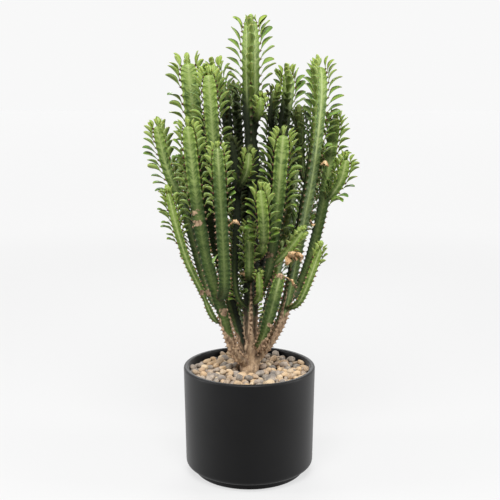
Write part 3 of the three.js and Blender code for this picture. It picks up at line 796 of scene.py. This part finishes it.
def stemRing(shape, stem, along, tipRound):
    point, tangent, ahead, side = frameAt(stem, along)
    reach = reachAt(stem, along) * tipRound
    fromTip = stem["length"] - along
    depth = tipRound * smoothstep(fromTip, 1, ribs["fullNotch"])
    youth = youthAt(stem, fromTip)
    ring = []
    for rib, places in enumerate(stem["teeth"]):
        phase = phaseAt(places, fromTip)
        half = halfRib(reach, phase, depth)
        turns = [(-1, i) for i in range(len(half) - 2, 0, -1)] + [(1, i) for i in range(len(half))]
        for sign, i in turns:
            angle = math.radians(rib * ribs["turn"]) + sign * math.atan2(half[i].y, half[i].x)
            facing = outward(ahead, side, angle)
            place = point + facing * half[i].length
            lateral = flank["lateral"][i]
            rough = corkAt(stem, along, place, lateral, facing)
            place += facing * rough * bark["rough"] * noise.noise(place * bark["grain"])
            # painted shade, deep in the crown and where a side stem joins, carried in the third place value
            shade = max(jointShade(stem, along), paintedShadeAt(place, facing))
            ring.append(shape.add(place, (lateral, phase, shade), (stem["shade"], rough, youth)))
    return ring


def sweepStem(shape, stem):
    length, dome = stem["length"], ribs["dome"]
    count = max(6, round((length - dome) / stem["ringStep"]))
    rows = [(i / count * (length - dome), 1) for i in range(count + 1)]
    rows += [(length - dome * (1 - share), math.sqrt(1 - share ** 2)) for share in ribs["domeRows"]]
    rings = [stemRing(shape, stem, along, tipRound) for along, tipRound in rows]
    shape.cover(rings)
    for end, ring in ((0, rings[0][::-1]), (length, rings[-1])):
        point, _ = stem["line"].at(end)
        tone = (stem["shade"], 0, youthAt(stem, length - end))
        shape.fan(ring, shape.add(point, (0, 0, paintedShadeAt(point)), tone))


# Thorns: a small shield on each tooth with a pair of spines, red when young and corky when old

thorns = {
    "shield": (1.9, 1.7), "spine": (4.8, 2.8), "spineWidth": 0.55, "spread": 36, "sunk": 0.5,
    "sides": 8, "youngTo": 40, "oldShare": 0.7, "lump": 0.35, "corky": 0.85, "woodenTo": 200,
    "onSlender": 0.75, "onStout": 1.1, "worn": 0.75, "least": (0.8, 0.35), "most": 1.2, "lift": 0.25,
    "profile": ((-0.5, 1.15), (0.2, 1), (0.7, 0.62)), "knob": (1.15, 1.1, 0.85),
    "lumpScale": (3, 4), "long": (0.7, 1.15), "splay": (0.7, 1.2), "spineRoot": 0.4, "extra": 0.5,
}


def addKnob(shape, centre, ways, sizes, tone):
    # a low dome; ways are its height, length and width directions
    rings = []
    spot, rising = thorns["lumpScale"]
    for rise, wide in thorns["profile"]:
        ring = []
        for angle in around(thorns["sides"]):
            lump = noise.noise(centre * spot + Vector((angle, rise * rising, 0)))
            out = wide * (1 + thorns["lump"] * lump)
            point = centre + ways[0] * rise * sizes[0]
            point += ways[1] * out * sizes[1] * math.cos(angle)
            point += ways[2] * out * sizes[2] * math.sin(angle)
            ring.append(shape.add(point, tone=tone))
        rings.append(ring)
    shape.cover(rings, finish=2)
    shape.fan(rings[-1], shape.add(centre + ways[0] * sizes[0], tone=tone), finish=2)
    shape.face(*rings[0][::-1], finish=2)


def addSpine(shape, root, way, length, tone):
    across = way.orthogonal().normalized()
    ring = []
    for angle in around(4):
        spread = outward(across, way.cross(across), angle) * thorns["spineWidth"]
        ring.append(shape.add(root + spread, (1, 0, 0), tone))
    shape.fan(ring, shape.add(root + way * length, (1, 0, 1), tone), finish=2)
    shape.face(*ring[::-1], finish=2)


def addThorns(shape, stem, rib, fromTip, draw):
    along = stem["length"] - fromTip
    centre, tangent, out = crestAt(stem, along, rib, thorns["sunk"])
    across = tangent.cross(out)
    age = smoothstep(fromTip, thorns["youngTo"], stem["length"] * thorns["oldShare"])
    stout = stem["reach"][1] / teeth["stout"]
    size = lerp(*thorns["shield"], age) * lerp(thorns["onSlender"], thorns["onStout"], stout)
    size *= draw.uniform(lerp(*thorns["least"], age), thorns["most"])
    if corkAt(stem, along, centre, 1, out) > thorns["corky"] and along < thorns["woodenTo"]:
        age = 2
        size *= thorns["worn"]
    tone = (draw.random(), age, paintedShadeAt(centre, out))
    addKnob(shape, centre, (out, tangent, across), [size * share for share in thorns["knob"]], tone)
    length = lerp(*thorns["spine"], min(1, age)) * draw.uniform(*thorns["long"])
    for sign in (-1, 1):
        angle = math.radians(thorns["spread"] * draw.uniform(*thorns["splay"]))
        way = outward(out, across * sign, angle) + tangent * thorns["lift"]
        root = centre + out * size * thorns["spineRoot"]
        addSpine(shape, root, way.normalized(), length + size * thorns["extra"], tone)


# Leaves: fleshy spoons, upright near the tip and arching lower down

leaf = {
    "width": 17, "stalk": 0.13, "widest": 0.55, "thick": 0.95, "stalkThick": 1.5, "edgeThick": 0.35,
    "fold": 24, "section": ((1, (-1, -0.55, 0, 0.55, 1)), (-1, (0.55, 0, -0.55))), "rows": 9,
    "young": 12, "grown": 50, "droop": 5.6, "sway": 5, "arch": 42, "twist": 24, "aside": 6,
    "youngShare": 0.66, "growthStep": 0.09, "skip": 0.02, "lowerSkip": 0.14, "skipFade": (0.55, 1),
    "sunk": 0.4, "above": 0.8, "limp": (0.8, 1.5), "long": 45, "room": 0.5, "near": 14, "apart": 1.4,
    "stretch": 1.2, "probed": 0.7, "skirt": 3, "lower": (0.5, 1.1), "least": (0.9, 0.55),
    "most": (1.12, 1.02), "arched": (0.6, 1.3), "outside": 15, "slim": 0.4, "broad": (0.8, 1.05),
}

# the form of a leaf, from its stalk to its end
blade = {
    "stalkTo": 0.06, "shoulder": 0.04, "end": 1.02, "belly": 1.9, "point": 0.62, "early": 0.22,
    "bend": 1.25, "thickTo": 0.3, "thinEnd": 0.6, "cup": 1.4, "cushion": 0.12, "crumple": (0.26, 1.4),
}

# a leaf that would touch a neighbour turns aside, lifts or stays shorter: turn, lift, size
dodges = [
    (0, 0, 1), (14, 0, 1), (-14, 0, 1), (0, -14, 1), (0, 16, 0.97), (26, -8, 0.95), (-26, -8, 0.95),
    (0, -24, 0.9), (22, 14, 0.85), (-22, 14, 0.85), (40, 0, 0.8), (-40, 0, 0.8), (0, -30, 0.62),
]


def leafWidth(share):
    wide, end = leaf["widest"], blade["end"]
    if share < wide:
        return lerp(leaf["stalk"], 1, smoothstep(share, blade["stalkTo"], wide + blade["shoulder"]))
    return max(0, 1 - ((share - wide) / (end - wide)) ** blade["belly"]) ** blade["point"]


def leafLine(root, tangent, heading, lean, arch, length):
    # points down the middle, with the way ahead and the way up at each
    point = root.copy()
    line = []
    for i in range(leaf["rows"] + 1):
        share = i / leaf["rows"]
        angle = math.radians(lean - blade["early"] * arch + arch * share ** blade["bend"])
        ahead = outward(tangent, heading, angle)
        upward = tangent * math.sin(angle) - heading * math.cos(angle)
        line.append((share, point.copy(), ahead, upward))
        point += ahead * length / leaf["rows"]
    return line


def addLeaf(shape, line, width, twist, tone, finish=1, fold=0, crumple=0):
    rings = []
    rise = math.sin(math.radians(leaf["fold"] + fold))
    for share, point, ahead, upward in line:
        across = ahead.cross(upward)
        angle = math.radians(twist * share)
        across, upward = (outward(across, upward, angle),
                          upward * math.cos(angle) - across * math.sin(angle))
        half = width / 2 * leafWidth(share)
        thick = lerp(leaf["stalkThick"], leaf["thick"], smoothstep(share, 0, blade["thickTo"]))
        thick *= lerp(1, blade["thinEnd"], share)
        ring = []
        for face, places in leaf["section"]:
            for place in places:
                edge = abs(place)
                lift = half * edge ** blade["cup"] * rise - blade["cushion"] * half * (1 - edge)
                body = lerp(thick, leaf["edgeThick"], edge ** 2) / 2
                spot = point + across * half * place + upward * (lift + face * body)
                if crumple:
                    far, wide = blade["crumple"]
                    spot += noise.noise_vector(point * far + across * place * wide) * crumple * share
                ring.append(shape.add(spot, (share, place, face), tone))
        rings.append(ring)
    shape.cover(rings, finish)
    shape.closeEnds(rings, finish)


def leafProbes(line, width):
    probes = []
    for share, point, ahead, upward in line[3::2]:
        across = ahead.cross(upward) * width / 2 * leafWidth(share) * leaf["probed"]
        probes += [point, point + across, point - across]
    return probes


class Crowd:
    # where the stems and the leaves placed so far leave room
    def __init__(self, stems):
        self.trees = []
        for stem in stems:
            points, faces = stem["shape"].points, stem["shape"].faces
            low, high = ([side(point[i] for point in points) for i in range(3)] for side in (min, max))
            self.trees.append((stem, low, high, BVHTree.FromPolygons(points, faces)))
        self.cells = {}

    def inBox(self, point):
        low, high = cadBox
        margin = leaf["thick"]
        return all(low[i] / mm + margin < point[i] < high[i] / mm - margin for i in range(3))

    def hitsStem(self, point, own):
        for stem, low, high, tree in self.trees:
            if stem is own or any(point[i] < low[i] - leaf["skirt"] or point[i] > high[i] + leaf["skirt"]
                                  for i in range(3)):
                continue
            place, normal, _, distance = tree.find_nearest(point, leaf["near"])
            if place and (distance < leaf["room"] or (point - place).dot(normal) < 0):
                return True
        return False

    def cellOf(self, point):
        return tuple(int(part // leaf["apart"]) for part in point)

    def nearLeaf(self, point):
        x, y, z = self.cellOf(point)
        for i, j, k in itertools.product((-1, 0, 1), repeat=3):
            for other in self.cells.get((x + i, y + j, z + k), ()):
                if (other - point).length < leaf["apart"]:
                    return True
        return False

    def takes(self, probes, own):
        free = all(self.inBox(point) for point in probes) and not any(
            self.hitsStem(point, own) or self.nearLeaf(point) for point in probes)
        if free:
            for point in probes:
                self.cells.setdefault(self.cellOf(point), []).append(point)
        return free


def growLeaf(shape, stem, rib, number, fromTip, crowd, draw):
    root, tangent, out = crestAt(stem, stem["length"] - fromTip, rib, leaf["sunk"])
    root += tangent * leaf["above"]
    grown = min(1, leaf["youngShare"] + number * leaf["growthStep"])
    lower = smoothstep(fromTip / stem["leafy"], *leaf["lower"])
    size = grown * draw.uniform(*[lerp(*leaf[key], lower) for key in ("least", "most")])
    lean = min(leaf["grown"], leaf["young"] + number * leaf["droop"]) + draw.gauss(0, leaf["sway"])
    arch = leaf["arch"] * grown * draw.uniform(*leaf["arched"]) * stem["limp"]
    twist = draw.gauss(0, leaf["twist"])
    tone = (draw.random(), fromTip, paintedShadeAt(root + out * leaf["outside"], out))
    aside = draw.gauss(0, leaf["aside"])
    for turned, lift, share in dodges:
        length = stem["leaf"] * size * share
        width = leaf["width"] * lerp(leaf["slim"], 1, grown) * lerp(*leaf["broad"], length / leaf["long"])
        heading = outward(out, tangent.cross(out), math.radians(turned + aside))
        line = leafLine(root, tangent, heading, lean + lift, arch, length)
        if crowd.takes(leafProbes(line, width), stem):
            addLeaf(shape, line, width, twist, tone)
            return 1
    return 0


# the youngest leaves, upright in the middle of the tip
bud = {
    "turns": (0, 130, 240), "out": 1.8, "sunk": 1.2, "size": (0.42, 0.58), "lean": (3, 12), "arch": 14,
    "width": 8, "twist": 15,
}


def growBud(shape, stem, crowd, draw):
    point, tangent, ahead, side = frameAt(stem, stem["length"])
    start = draw.uniform(0, 360)
    for turned in bud["turns"]:
        heading = outward(ahead, side, math.radians(start + turned))
        root = point + heading * bud["out"] - tangent * bud["sunk"]
        length = stem["leaf"] * draw.uniform(*bud["size"])
        line = leafLine(root, tangent, heading, draw.uniform(*bud["lean"]), bud["arch"], length)
        if crowd.takes(leafProbes(line, bud["width"]), stem):
            twist, tone = draw.gauss(0, bud["twist"]), (draw.random(), 0, paintedShadeAt(root))
            addLeaf(shape, line, bud["width"], twist, tone)


def dressStem(stem, crowd):
    draw = random.Random("stem_" + stem["name"])
    shape = stem["shape"]
    leafy = stem["leafy"] * leaf["stretch"]
    count = 0
    if leafy:
        growBud(shape, stem, crowd, draw)
    for rib, places in enumerate(stem["teeth"]):
        for number, fromTip in enumerate(places):
            addThorns(shape, stem, rib, fromTip, draw)
            lower = smoothstep(fromTip / max(1, leafy), *leaf["skipFade"])
            skip = lerp(leaf["skip"], leaf["lowerSkip"], lower)
            if fromTip < leafy and draw.random() > skip:
                count += growLeaf(shape, stem, rib, number, fromTip, crowd, draw)
    return count


# Leaves listed one by one: the stem, the point that they hang near, their way out, how far they lean
# from upright, how much they curl, their length and their width

hung = {"sunk": 1.5, "twist": 12, "shade": 0.37}
puckered = {"wide": 1.3, "twist": 60, "fold": 16, "crumple": 8}

dryLeaves = [
    ("left_front", (-38, -100, 588), (1, -0.3), 70, 55, 24, 11),
    ("left_slender", (-22, -14, 460), (1, -0.5), 84, 26, 24, 9),
    ("right_leaning", (84, -70, 502), (0.7, -0.7), 82, 70, 27, 21),
    ("right_leaning", (96, -70, 515), (1, -0.5), 118, 62, 30, 17),
    ("right_leaning", (90, -70, 506), (-0.3, -1), 140, 50, 22, 14),
    ("right_blunt", (80, -54, 470), (1, -0.3), 130, 30, 36, 9),
    ("right_arm", (154, -24, 706), (0.9, -0.6), 80, 60, 20, 10),
    ("right_outer", (146, 12, 566), (-0.4, -1), 60, 70, 17, 11),
    ("left_tall", (-62, 12, 536), (0.5, -1), 100, 50, 20, 8),
    ("back_left", (-70, 140, 520), (-0.3, 1), 120, 60, 30, 12),
    ("back_right", (84, 132, 470), (0.5, 1), 110, 70, 28, 11),
]

greenLeaves = [
    ("left_front", (-68, -96, 524), (-1, -0.4), 150, 10, 22, 13),
    ("right_arm", (92, -26, 478), (-0.2, -1), 30, 20, 30, 20),
    ("right_outer", (150, 14, 560), (-0.6, -0.8), 60, 30, 26, 14),
]


def hangLeaf(dry, name, at, way, lean, curl, length, width):
    stem = stems[name]
    crests = [crestAt(stem, along, rib, hung["sunk"])[0]
              for along in range(0, 2 * round(stem["length"] / 2), 2) for rib in range(ribs["count"])]
    root = min(crests, key=lambda crest: (crest - Vector(at)).length)
    heading = Vector((*way, 0)).normalized()
    line = leafLine(root, Vector((0, 0, 1)), heading, lean, curl, length)
    tone = (length * hung["shade"] % 1, leaf["grown"], 0)
    if dry:
        twist, fold, crumple = (puckered[key] for key in ("twist", "fold", "crumple"))
        addLeaf(stem["shape"], line, width * puckered["wide"], twist, tone, 3, fold, crumple)
    else:
        addLeaf(stem["shape"], line, width, hung["twist"], tone)


# how strongly the painted shade deep in the crown darkens the skin, leaves and thorns, as shares of its full
# strength, the dust it adds to the roughness, and the colour of the painted shade
deep = {"skin": 0.94, "leaf": 0.84, "thorn": 0.9, "dust": 0.35, "tint": "091006"}


def skinFinish():
    skin = Finish("stemSkin", Specular_IOR_Level=0.3)
    lateral, phase, depth = skin.read("place")
    own, corky, youth = skin.read("tone")
    cloud, blotch, grain = skin.spots(38, 3), skin.spots(150, 3), skin.spots(700, 2)
    young, aged = youth.fade(0, 1), 1 - youth.fade(-1, 0)
    fresh = 1 - aged * 0.65
    # fine marks run from the middle of a face up to the teeth, like the barbs of a feather
    slant = phase - 0.75 * (1 - lateral) + (blotch - 0.5) * 0.3
    weave = {0: slant * 4.4, 1: lateral * 1.3, 2: own * 40}
    barbs = skin.grains(skin.start.make("ShaderNodeCombineXYZ", None, weave), 1, 3)
    feather = barbs.fade(0.4, 0.68)
    wash = (1 - lateral.fade(0.1, 0.75)) * (cloud.fade(0.3, 0.6) * 0.5 + 0.2)
    dark = (1 - barbs.fade(0.3, 0.48)) * 0.6 + lateral.fade(0.55, 0.95) * (1 - young) * 0.3
    middle = lateral + (cloud - 0.5) * 0.5 + (barbs - 0.5) * 0.35
    streak = (1 - middle.fade(0.0, 0.34)) * (blotch.fade(0.25, 0.6) * 0.7 + 0.3) * fresh
    # a dark dash below each tooth, on a yellower crest
    under = phase.maths("FRACT", phase)
    dash = under.fade(0.02, 0.1) * (1 - under.fade(0.16, 0.34)) * lateral.fade(0.5, 0.9)
    green = coat(
        (cloud.fade(0.35, 0.65) * 0.7 + own * 0.3).blend("354f17", "4c6724"),
        (aged * 0.8, "2c3e14"), (young * 0.75, "7d963c"), (wash * fresh, "8fa05c"),
        (feather * (1 - lateral.fade(0.55, 0.9)) * 0.55 * fresh, "9bab66"), (dark, "243812"),
        (streak * (own.fade(0.1, 0.9) * 0.5 + 0.25), "b3bf83"),
        (lateral.fade(0.72, 0.96) * (1 - aged) * 0.6, "859a44"), (dash * 0.6, "27391a"))
    cork = ((blotch - 0.5) * 0.9 + (cloud - 0.5) * 0.7 + corky).fade(0.47, 0.58)
    stripes = skin.spots(210, 4, (1, 1, 0.28))
    wood = coat(stripes.fade(0.35, 0.62).blend("66503c", "bb9e80"), (grain.fade(0.5, 0.75) * 0.5, "cdb195"))
    # deep in the crown the colour goes to the painted shade tint
    skin.feed("Base Color", (depth * deep["skin"]).blend(cork.blend(green, wood), deep["tint"]))
    skin.feed("Roughness", cork * 0.36 + grain * 0.14 + depth * deep["dust"] + 0.4)
    skin.emboss(cork * (stripes * 1.6 + 0.5) + (1 - cork) * (feather * 0.3 + grain * 0.14), 0.7, 0.7)
    return skin


def leafFinish():
    green = Finish("leafFlesh", Specular_IOR_Level=0.4, Subsurface_Weight=0.06, Subsurface_Scale=0.002)
    share, aside, face = green.read("place")
    own, fromTip, depth = green.read("tone")
    cloud, grain, across = green.spots(120, 2), green.spots(900, 2), abs(aside)
    rib = (1 - across.fade(0.03, 0.2)) * (1 - share.fade(0.5, 0.95))
    # the last coat is the painted shade deep in the crown
    green.feed("Base Color", coat(
        own.blend("45652a", "6b8634"), (cloud.fade(0.4, 0.7) * 0.35, "83993f"),
        # paler undersides: partly the leaf's own colour, partly painted light that lifts the shade under the
        # leaves
        ((1 - fromTip.fade(2, 50)) * 0.75, "91a544"), ((1 - face.fade(-0.2, 0.2)) * 0.7, "a0b262"),
        (rib * 0.6, "a3bb69"), (across.fade(0.86, 1) * 0.4, "93ac5e"),
        ((1 - share.fade(0.0, 0.1)) * 0.6, "8a5f3d"),
        (share.fade(0.93, 1.0) * own.fade(0.55, 0.9) * 0.7, "8a6a3a"),
        (depth * deep["leaf"], deep["tint"])))
    green.feed("Roughness", grain * 0.15 + depth * deep["dust"] + 0.34)
    veins = (across * 3.2 - share * 7).toNearest().fade(0.1, 0.4)
    green.emboss(veins * 0.35 + grain * 0.3 + rib, 0.25, 0.25)
    return green


def thornFinish():
    horn = Finish("thornCork", Specular_IOR_Level=0.35)
    isSpine, _, along = horn.read("place")
    own, old, depth = horn.read("tone")
    grain = horn.spots(420, 3)
    age = (old + (own - 0.5) * 0.3).fade(0.02, 0.5)
    shield = coat(age.blend("4c2519", "927258"), (grain.fade(0.4, 0.65) * age * 0.6, "7d604a"),
                  (old.fade(1.2, 1.8), "755a43"))
    spine = along.blend(age.blend("421c14", "644836"), "2c1712")
    # deep in the crown the colour goes to the painted shade tint
    horn.feed("Base Color", (depth * deep["thorn"]).blend(isSpine.blend(shield, spine), deep["tint"]))
    horn.feed("Roughness", grain * 0.2 + 0.55)
    horn.emboss(grain, 0.4, 0.3)
    return horn


def dryFinish():
    dry = Finish("dryLeaf", Specular_IOR_Level=0.3)
    cloud, grain = dry.spots(90, 3), dry.spots(500, 3)
    dry.feed("Base Color", coat(
        cloud.fade(0.35, 0.65).blend("b98f62", "e0c499"), (grain.fade(0.5, 0.7) * 0.5, "86603f"),
        (dry.read("place")[0].fade(0.85, 1) * 0.6, "6e4426")))
    dry.feed("Roughness", grain * 0.2 + 0.65)
    dry.emboss(grain + cloud, 0.6, 0.6)
    return dry


def planStems():
    for index, (name, stem) in enumerate(stems.items()):
        draw = random.Random(index)
        stem["name"], stem["line"] = name, Route(stem["route"])
        stem["length"], stem["shade"] = stem["line"].length, draw.random()
        stem["ringStep"] = ribs["ringStep"]
        stem["teeth"] = [toothPlaces(stem, rib, draw) for rib in range(ribs["count"])]
        stem["limp"] = draw.uniform(*leaf["limp"])


def makeStems():
    finishes = [skinFinish(), leafFinish(), thornFinish(), dryFinish()]
    for stem in stems.values():
        stem["shape"] = Shape()
        sweepStem(stem["shape"], stem)
    print(len(stems), "stems swept")
    crowd = Crowd(stems.values())
    count = sum(dressStem(stem, crowd) for stem in stems.values())
    for dry, leaves in ((True, dryLeaves), (False, greenLeaves)):
        for spray in leaves:
            hangLeaf(dry, *spray)
    for name, stem in stems.items():
        mesh = stem["shape"].mesh(name + "_stem")
        addPiece(name + "_stem", mesh, finishes, "stem", "stem_" + name)
    print(count, "leaves grown")


# Trunk: rough tubes joined by a remesh, then furrowed as bark

trunk = {
    "lean": (0, 6), "profile": [(150, 15), (205, 20), (236, 22), (252, 19.5), (268, 12), (304, 9)],
    "collar": 34, "collarShare": 0.7, "collarRows": 8, "taper": (8.6, 1.6), "sides": 14, "voxel": 1.5,
    "furrow": 1.7, "furrowScale": (0.2, 0.2, 0.045), "crease": 0.8, "creaseScale": 0.35, "relax": (0.5, 6),
}

# woody arms over the lower ends of three stems: places and radii
arms = [
    [(0, 4, 246, 14), (-20, -8, 266, 13.5), (-34, -20, 290, 12), (-44, -30, 318, 9), (-50, -35, 342, 3)],
    [(3, 5, 246, 14), (20, 3, 268, 13), (38, 1, 295, 12), (52, -1, 317, 9), (60, -3, 338, 3)],
    [(1, 3, 240, 15), (3, -2, 262, 12), (4, -6, 285, 10), (4, -9, 310, 8), (4, -11, 336, 3)],
]


def tube(shape, rows):
    # rows are places, the two ways across and a radius
    rings = [[shape.add(point + outward(first, second, angle) * radius) for angle in around(trunk["sides"])]
             for point, first, second, radius in rows]
    shape.cover(rings)
    shape.closeEnds(rings)


def remeshed(mesh, voxel):
    rough = addObject("rough", mesh)
    knit = rough.modifiers.new("knit", "REMESH")
    knit.mode, knit.voxel_size = "VOXEL", voxel * mm
    relax = rough.modifiers.new("relax", "SMOOTH")
    relax.factor, relax.iterations = trunk["relax"]
    bpy.context.view_layer.update()
    graph = bpy.context.evaluated_depsgraph_get()
    joined = bpy.data.meshes.new_from_object(rough.evaluated_get(graph))
    bpy.data.objects.remove(rough)
    return joined


def barkFinish():
    cork = Finish("trunkBark")
    long, lumps = cork.spots(120, 5, (1, 1, 0.22)), cork.spots(45, 3)
    grain = cork.spots(520, 3, (1, 1, 0.5))
    # the last coat is the painted shade in the fork between the limbs
    cork.feed("Base Color", coat(
        long.fade(0.33, 0.62).blend("5f4836", "b09678"), (lumps.fade(0.45, 0.7) * 0.5, "927658"),
        (grain.fade(0.55, 0.8) * 0.5, "d3bda1"), (cork.read("place")[0] * 0.8, "241a12")))
    cork.feed("Roughness", 0.72 + grain * 0.25)
    cork.emboss(long * 1.2 + grain * 0.4, 0.8, 1.1)
    return cork


# painted shade in the gaps between the woody limbs
fork = {"middle": 3, "apart": 14, "flare": 0.25, "level": 262, "soft": 6, "rise": (254, 274)}


def forkShade(point):
    limb = fork["apart"] + fork["flare"] * (point.z - fork["level"])
    away = (abs(point.x - fork["middle"]) - limb) / fork["soft"]
    return math.exp(-away ** 2) * smoothstep(point.z, *fork["rise"])


def collarRows(stem):
    rows = []
    end, power = trunk["taper"]
    for i in range(trunk["collarRows"] + 1):
        point, _, ahead, side = frameAt(stem, i / trunk["collarRows"] * trunk["collar"])
        radius = stem["reach"][0] * trunk["collarShare"] * (1 - (i / end) ** power)
        rows.append((point, ahead, side, radius))
    return rows


def armRows(arm):
    rows = []
    for i, (x, y, z, radius) in enumerate(arm):
        lower, higher = Vector(arm[max(0, i - 1)][:3]), Vector(arm[min(len(arm) - 1, i + 1)][:3])
        across = (higher - lower).cross(Vector((0, 1, 0))).normalized()
        rows.append((Vector((x, y, z)), across, (higher - lower).cross(across).normalized(), radius))
    return rows


def makeTrunk():
    shape = Shape()
    tube(shape, [(Vector((*trunk["lean"], height)), Vector((1, 0, 0)), Vector((0, 1, 0)), radius)
                 for height, radius in trunk["profile"]])
    for stem in stems.values():
        if stem["from"] == "trunk":
            tube(shape, collarRows(stem))
    for arm in arms:
        tube(shape, armRows(arm))
    mesh = remeshed(shape.mesh("roughTrunk"), trunk["voxel"])
    for vertex in mesh.vertices:
        point = vertex.co / mm
        long = Vector([part * scale for part, scale in zip(point, trunk["furrowScale"])])
        furrow = 0.5 - 2 * abs(noise.noise(long))
        crease = noise.noise(point * trunk["creaseScale"])
        vertex.co += vertex.normal * (trunk["furrow"] * furrow + trunk["crease"] * crease) * mm
    mesh.polygons.foreach_set("use_smooth", [True] * len(mesh.polygons))
    # the painted shade in the fork, for the bark finish
    dark = mesh.attributes.new("place", "FLOAT_VECTOR", "POINT")
    for vertex in mesh.vertices:
        dark.data[vertex.index].vector = (forkShade(vertex.co / mm), 0, 0)
    addPiece("woodyTrunk", mesh, [barkFinish()], "bark", "trunk")
    print("trunk furrowed")


makeCamera()
for light in lights:
    makeLight(light)
makeWorld()
makeFloor()
makePot()
makeSoil()
makePebbles()
planStems()
makeTrunk()
makeStems()
